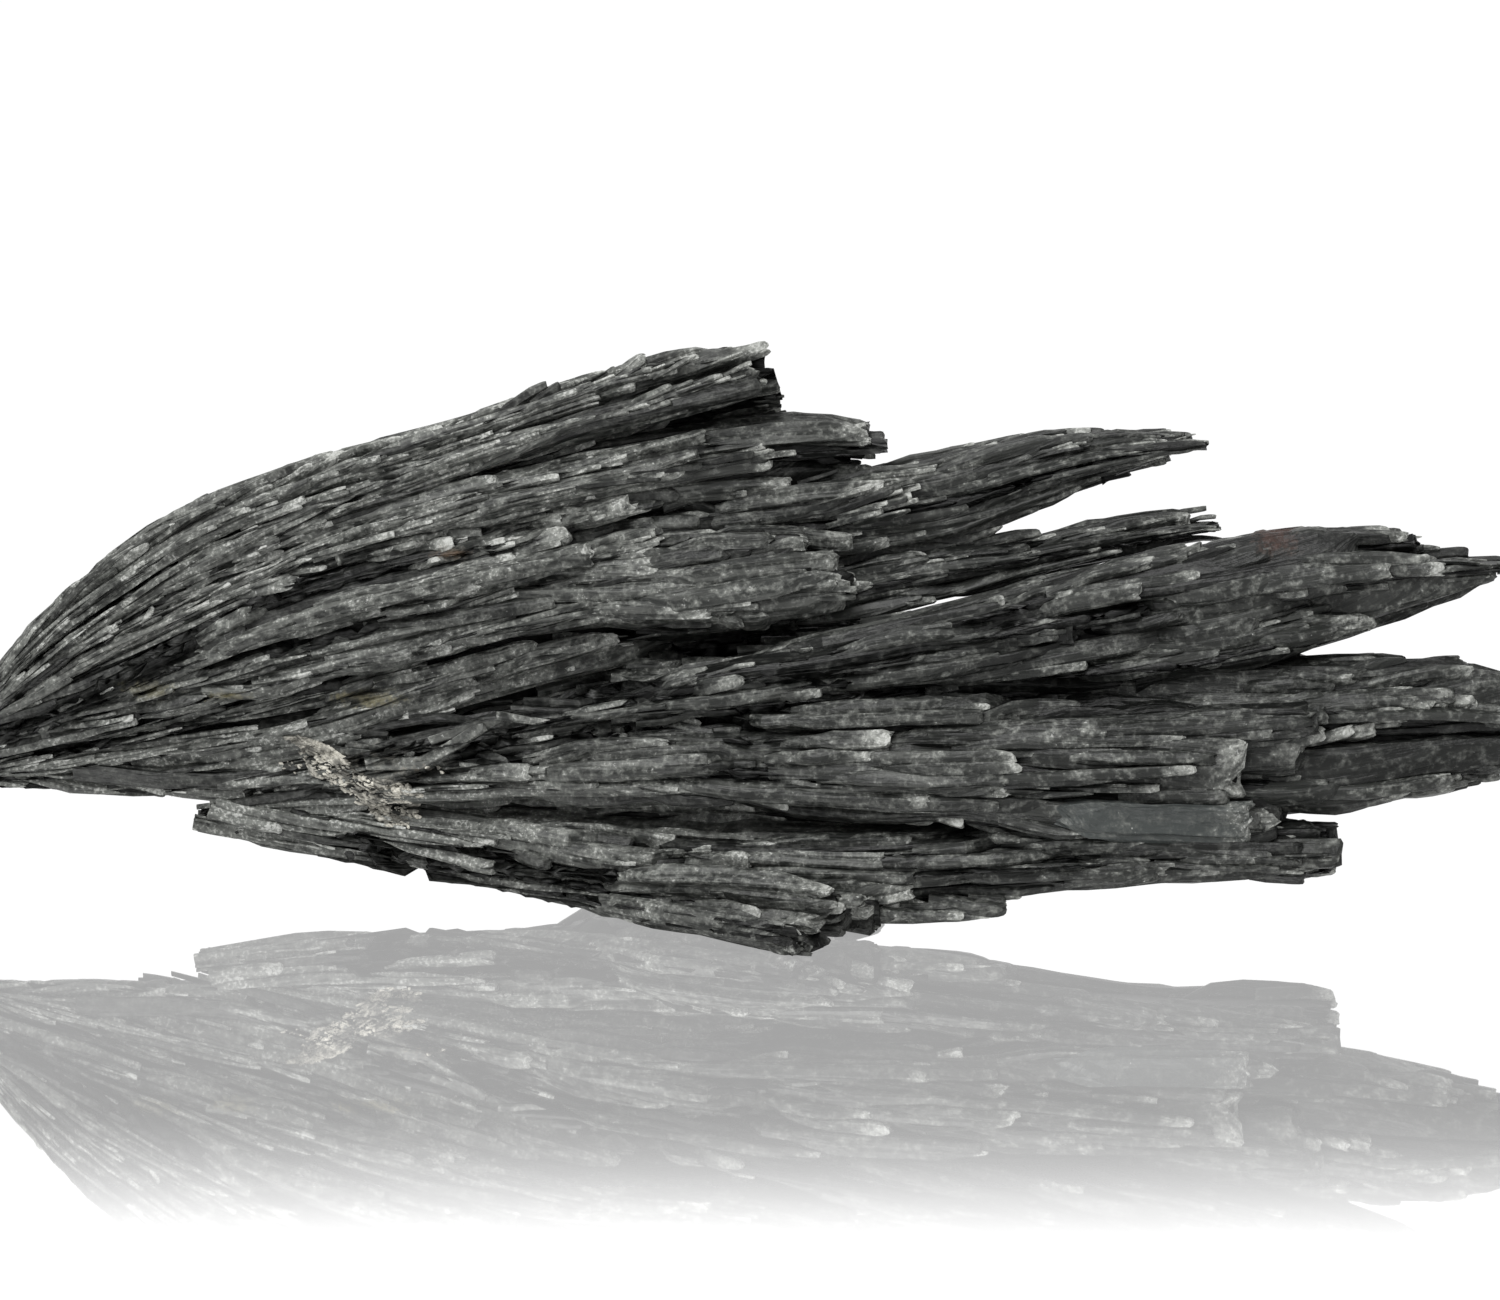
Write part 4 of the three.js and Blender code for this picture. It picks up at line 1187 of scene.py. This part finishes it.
def build_fan(material):
    """The inner body and, spray by spray, all the blades; returns the pieces."""
    solid = Solid()
    tree = blade_tree()
    pieces = [inner_body(material, solid)]
    for name, layout in SPRAYS.items():
        spray = Spray(**layout)
        grain = GRAINS.get(name, COARSE)
        spray.split(**grain["gaps"])
        parts = []
        first = 1
        for routes, sizes in (
            (bed_routes(spray, solid, grain["bed"]) if spray.bedded else [], BED_SIZES),
            (great_routes(spray, solid, GREAT_BLADES.get(name, [])), GREAT_SIZES),
            (blade_routes(spray, solid, grain["shade"], **grain["slabs"]), SLAB_SIZES),
            (blade_routes(spray, solid, grain["shade"], **grain["laths"]), LATH_SIZES),
        ):
            if not routes:
                continue
            parts.append(grown(name, guide_object(name + "_guides", routes, first), tree, material, sizes))
            first += len(routes)
        piece = joined(name + "_blades", parts)
        worn_flat(piece)
        pieces.append(piece)
    remove_hidden(pieces)
    for piece in pieces:
        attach(piece, "root")
        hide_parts(NODE)
        lay_out(piece)
    return pieces


# The map of a piece, in millimetres. The discs are the broken ends, and heights along a strip are in radii of
# its discs.
MAP_GAP = 0.06  # left free round each strip
VIEWS_GAP = 0.3  # left free between the two views of the inner body
END_DISC, WIDEST_DISC = 0.4, 0.3  # radius of a disc over the width of its strip, and the largest one
LOW_DISC, STRIP_FOOT, HIGH_DISC, DISCS_ROOM = 1.1, 2.4, 3.7, 5


def packed(wide, tall):
    """Lower left corners of upright rectangles set in rows, and the side of the square they fill."""
    order = np.argsort(-tall, kind="stable")
    side = math.sqrt((wide * tall).sum())
    while True:
        lefts, floors = np.zeros(len(wide)), np.zeros(len(wide))
        x = y = row = 0.0
        for i in order:
            if x + wide[i] > side:
                x, y, row = 0.0, y + row, 0.0
            lefts[i], floors[i] = x, y
            x += wide[i]
            row = max(row, tall[i])
        if y + row <= side:
            return lefts, floors, side
        side *= 1.02


def lay_out(piece):
    """Gives a piece a map: every blade is an upright strip, unrolled, with its two ends above and below."""
    mesh = piece.data

    def known_by(name):
        return read(mesh.attributes[name].data, "value").astype(float)

    corners = read(mesh.loops, "vertex_index", np.int32)
    first, sides = (read(mesh.polygons, name, np.int32) for name in ("loop_start", "loop_total"))
    face = np.repeat(np.arange(len(first)), sides)
    known, blade = np.unique(known_by("blade").round().astype(int), return_inverse=True)
    run, girth = known_by("run"), known_by("girth")
    width, start, end = np.zeros(len(known)), np.full(len(known), np.inf), np.full(len(known), -np.inf)
    np.maximum.at(width, blade, known_by("half_width") * PERIMETER)
    np.minimum.at(start, blade, run)
    np.maximum.at(end, blade, run)
    length = end - start
    blade, run, girth, around = blade[corners], run[corners], girth[corners], known_by("around")[corners]
    seam = np.maximum.reduceat(around, first) - np.minimum.reduceat(around, first) > 0.5
    is_end = sides[face] > 4
    around += seam[face] & (around < 0.5) & ~is_end
    radius = np.minimum(END_DISC * width, WIDEST_DISC)
    wide = width * (1 + 1 / SLAB_SIZES["Sides"]) + 2 * MAP_GAP
    tall = length + DISCS_ROOM * radius + 2 * MAP_GAP
    here = radius[blade]
    upper = run - start[blade] > length[blade] / 2
    x = np.where(is_end, LOW_DISC * here + here * np.cos(around * math.tau), around * width[blade])
    middle = np.where(upper, length[blade] + HIGH_DISC * here, LOW_DISC * here)
    y = np.where(is_end, middle + here * np.sin(around * math.tau), run - start[blade] + STRIP_FOOT * here)
    if known[0] == 0:  # the inner body, seen from the front and from the back
        back = read(mesh.polygons, "normal", width=3)[:, 1][face] > 0
        height = np.ptp(girth)
        x, y = run - start[0], girth - girth.min() + back * (height + VIEWS_GAP)
        wide, tall = length + 2 * MAP_GAP, np.array([2 * height + VIEWS_GAP + 2 * MAP_GAP])
    lefts, floors, side = packed(wide, tall)
    places = np.stack([x + lefts[blade] + MAP_GAP, y + floors[blade] + MAP_GAP], axis=1) / side
    layer = mesh.uv_layers.new(name="OFBake")
    layer.data.foreach_set("uv", places.astype(np.float32).ravel())


def crust_tree():
    """Strews little flattened grains over patches, each turned and sized at random."""
    graph, given = tree_inputs("crust grains", {
        "Largest Grain": 0.12, "Smallest Grain": 0.025, "Roughness": 0.05, "Grain Seed": 5,
    })
    spread = graph.node("GeometryNodeDistributePointsOnFaces", {"distribute_method": "RANDOM"}, {
        "Mesh": given["Geometry"], "Density": graph.named("per_area"), "Seed": given["Grain Seed"],
    })
    grain = graph.node("GeometryNodeMeshIcoSphere", None, {"Radius": MM, "Subdivisions": 1})
    index = graph.node("GeometryNodeInputIndex")
    chance = graph.node("ShaderNodeTexWhiteNoise", {"noise_dimensions": "1D"}, {"W": index + 0.37})
    other = graph.node("ShaderNodeTexWhiteNoise", {"noise_dimensions": "1D"}, {"W": index + 517.61})
    size = given["Smallest Grain"] + (given["Largest Grain"] - given["Smallest Grain"]) * chance["Value"] ** 2
    shape = graph.combined(size * (1 + 2.5 * other["Value"] ** 2), size, size * 0.75)
    turn = graph.vector("SUBTRACT", chance["Color"], (0.5, 0.2, 0.5))
    strewn = graph.node("GeometryNodeInstanceOnPoints", None, {
        "Points": spread, "Instance": grain, "Scale": shape, "Rotation": turn,
    })
    strewn = graph.node("GeometryNodeRealizeInstances", None, {"Geometry": strewn})
    where = graph.scaled(graph.node("GeometryNodeInputPosition"), 5200.0)
    tree_output(graph, given, chipped(graph, strewn, where, given["Roughness"] * 2 * MM, 1.0))
    return graph.tree


def crust_material():
    """Cream to grey grains."""
    material, graph, shader, place = principled("cream_crust")
    patches = graph.noise(place, 1.6, detail=3.0, roughness=0.65)
    specks = graph.noise(place, 9.0, detail=2.0, roughness=0.6)
    colour = graph.mix(patches.above(0.36, 0.6), GREY_CRUST, CREAM_CRUST)
    colour = graph.mix(specks.above(0.5, 0.66) * 0.6, colour, CRUST_SPECK)
    link(graph, colour, shader.inputs["Base Color"])
    link(graph, 0.6 + 0.2 * specks, shader.inputs["Roughness"])
    shader.inputs["Specular IOR Level"].default_value = 0.3
    return material


PATCH_STEP = 0.12  # from one row of faces of a patch to the next
PATCH_SIDES = 3  # faces on either side of its middle line
PATCH_TAPER = 0.7  # length over which its ends widen
PATCH_FOLD = 0.5  # a face that would reach further back than this is left out
IN_FRONT = -30  # a place in front of the whole fan


def crust_patches(pieces):
    """Strips laid on the blades along the crust lines, for the grains to sit on."""
    blades = search_tree(pieces)
    points, faces, per_area = [], [], []
    for crust in CRUST_LINES:
        line = np.array(crust["line"], float)
        gone = np.r_[0, np.cumsum(np.linalg.norm(np.diff(line, axis=0), axis=1))]
        run = np.linspace(0, gone[-1], int(gone[-1] / PATCH_STEP) + 2)
        middle = np.stack([np.interp(run, gone, line[:, i]) for i in (0, 1)], axis=1)
        along = np.gradient(middle, axis=0)
        across = np.stack([-along[:, 1], along[:, 0]], axis=1) / np.linalg.norm(along, axis=1)[:, None]
        width = crust["half_width"] * np.clip(np.minimum(run, gone[-1] - run) / PATCH_TAPER, 0.25, 1)
        grid = {}
        for i, share in itertools.product(range(len(run)), range(-PATCH_SIDES, PATCH_SIDES + 1)):
            x, z = middle[i] + across[i] * width[i] * share / PATCH_SIDES
            hit = blades.ray_cast(Vector(to_frame((x, IN_FRONT, z))), Vector(BACKWARDS))[0]
            if hit is not None:
                grid[i, share] = len(points)
                points.append(hit)
                per_area.append(crust["per_area"] * 1e6)
        for i, share in itertools.product(range(len(run) - 1), range(-PATCH_SIDES, PATCH_SIDES)):
            corners = [(i, share), (i, share + 1), (i + 1, share + 1), (i + 1, share)]
            if all(corner in grid for corner in corners):
                face = [grid[corner] for corner in corners]
                depths = [points[corner].y for corner in face]
                if max(depths) - min(depths) < PATCH_FOLD * MM:
                    faces.append(tuple(face))
    return mesh_object("crust_strips", points, (), faces, {"per_area": per_area})


def build_crust(pieces):
    """The cream grains caked on the root of the low sprays."""
    crust = grown("crust", crust_patches(pieces), crust_tree(), crust_material())
    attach(crust, "root")
    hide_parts(NODE)
    return crust


# A blade is hidden when no line from the middles of its faces gets away. More lines are tried for the first
# blades of a piece, which are the broadest.
FIRST_BLADES = 50
FIRST_TRIES, TRIES = 90, 36
LINE_SPREAD = 0.45  # how far the lines spread about the way the face looks
LEAST_RISE = 0.1  # lines that leave the face more flatly aren't tried
LINE_REACH = 0.1  # metres that a line must get
GROUND_FACES = 0.0001  # faces lower than this look at the ground and aren't tried


def remove_hidden(pieces):
    """Takes out the blades that no straight line from outside can reach."""
    everything = search_tree(pieces)
    rng = np.random.default_rng(7)
    for piece in pieces:
        mesh = piece.data
        ids = read(mesh.attributes["blade"].data, "value").round().astype(int)
        centres, normals = (read(mesh.polygons, name, width=3) for name in ("center", "normal"))
        owner = ids[read(mesh.loops, "vertex_index", np.int32)[read(mesh.polygons, "loop_start", np.int32)]]
        seen = {0}
        tried = {}
        for face in rng.permutation(len(owner)):
            blade = owner[face]
            tries = FIRST_TRIES if blade < FIRST_BLADES else TRIES
            if blade in seen or tried.get(blade, 0) > tries or centres[face, 2] < GROUND_FACES:
                continue
            tried[blade] = tried.get(blade, 0) + 1
            normal = Vector(normals[face])
            way = normal + Vector(rng.normal(0, LINE_SPREAD, 3))
            if way.dot(normal) <= LEAST_RISE:
                continue
            start = Vector(centres[face]) + normal * HAIR
            if everything.ray_cast(start, way.normalized(), LINE_REACH)[0] is None:
                seen.add(blade)
        work = bmesh.new()
        work.from_mesh(mesh)
        work.verts.ensure_lookup_table()
        gone = np.flatnonzero(~np.isin(ids, list(seen)))
        bmesh.ops.delete(work, geom=[work.verts[i] for i in gone], context="VERTS")
        work.to_mesh(mesh)
        work.free()


# ---------------------------------------------------------------- floor, light and camera

FLOOR_HALF = 3  # metres
SHEET_FADES = (-0.075, -0.03)  # the mirror image fades between these places, in metres towards the back
PANEL_PLACE = (-0.12, -0.16, 0.3)
PANEL_SIZES = (0.25, 0.2)
PANEL_WATTS = 1.8
FAN_MIDDLE = (0, 0, 0.01)
LENS = 300  # long, for a nearly parallel view
SENSOR = 36
VIEW_WIDTH = 500 / 9 * MM  # width of the view at the fan
VIEW_MIDDLE = (-0.4, -2.0, 10.0)  # in the layout, but with the height above the floor
VIEW_ELEVATION = math.radians(12)


def aimed(thing, way):
    """Turns a light or a camera to look along a way."""
    thing.rotation_euler = way.to_track_quat("-Z", "Y").to_euler()


def studio():
    """A white floor in white light from all round, and one soft panel."""
    h = FLOOR_HALF
    floor = mesh_object("floor", [(-h, -h, 0), (h, -h, 0), (h, h, 0), (-h, h, 0)], (), [(0, 1, 2, 3)])
    floor.data.materials.append(floor_material())
    world = bpy.data.worlds.new("studio")
    world.use_nodes = True
    background = world.node_tree.nodes["Background"]
    background.inputs["Color"].default_value = (1, 1, 1, 1)
    background.inputs["Strength"].default_value = 1.0
    bpy.context.scene.world = world
    bpy.context.scene.view_settings.view_transform = "Standard"
    panel = bpy.data.lights.new("soft_panel", "AREA")
    panel.shape = "RECTANGLE"
    panel.size, panel.size_y = PANEL_SIZES
    panel.energy = PANEL_WATTS
    hung = add("soft_panel", panel)
    hung.location = PANEL_PLACE
    aimed(hung, Vector(FAN_MIDDLE) - hung.location)


def camera():
    """Looks at the broad face from the front and a little above."""
    lens = bpy.data.cameras.new("camera")
    lens.lens = LENS
    lens.sensor_width = SENSOR
    lens.clip_end = 50
    made = add("camera", lens)
    back = Vector((0, -math.cos(VIEW_ELEVATION), math.sin(VIEW_ELEVATION)))
    target = Vector(np.array(VIEW_MIDDLE) - FOOTPRINT_CENTRE) * MM
    made.location = target + back * (VIEW_WIDTH * LENS / SENSOR)
    aimed(made, -back)
    bpy.context.scene.camera = made


build_crust(build_fan(kyanite_material()))
studio()
camera()
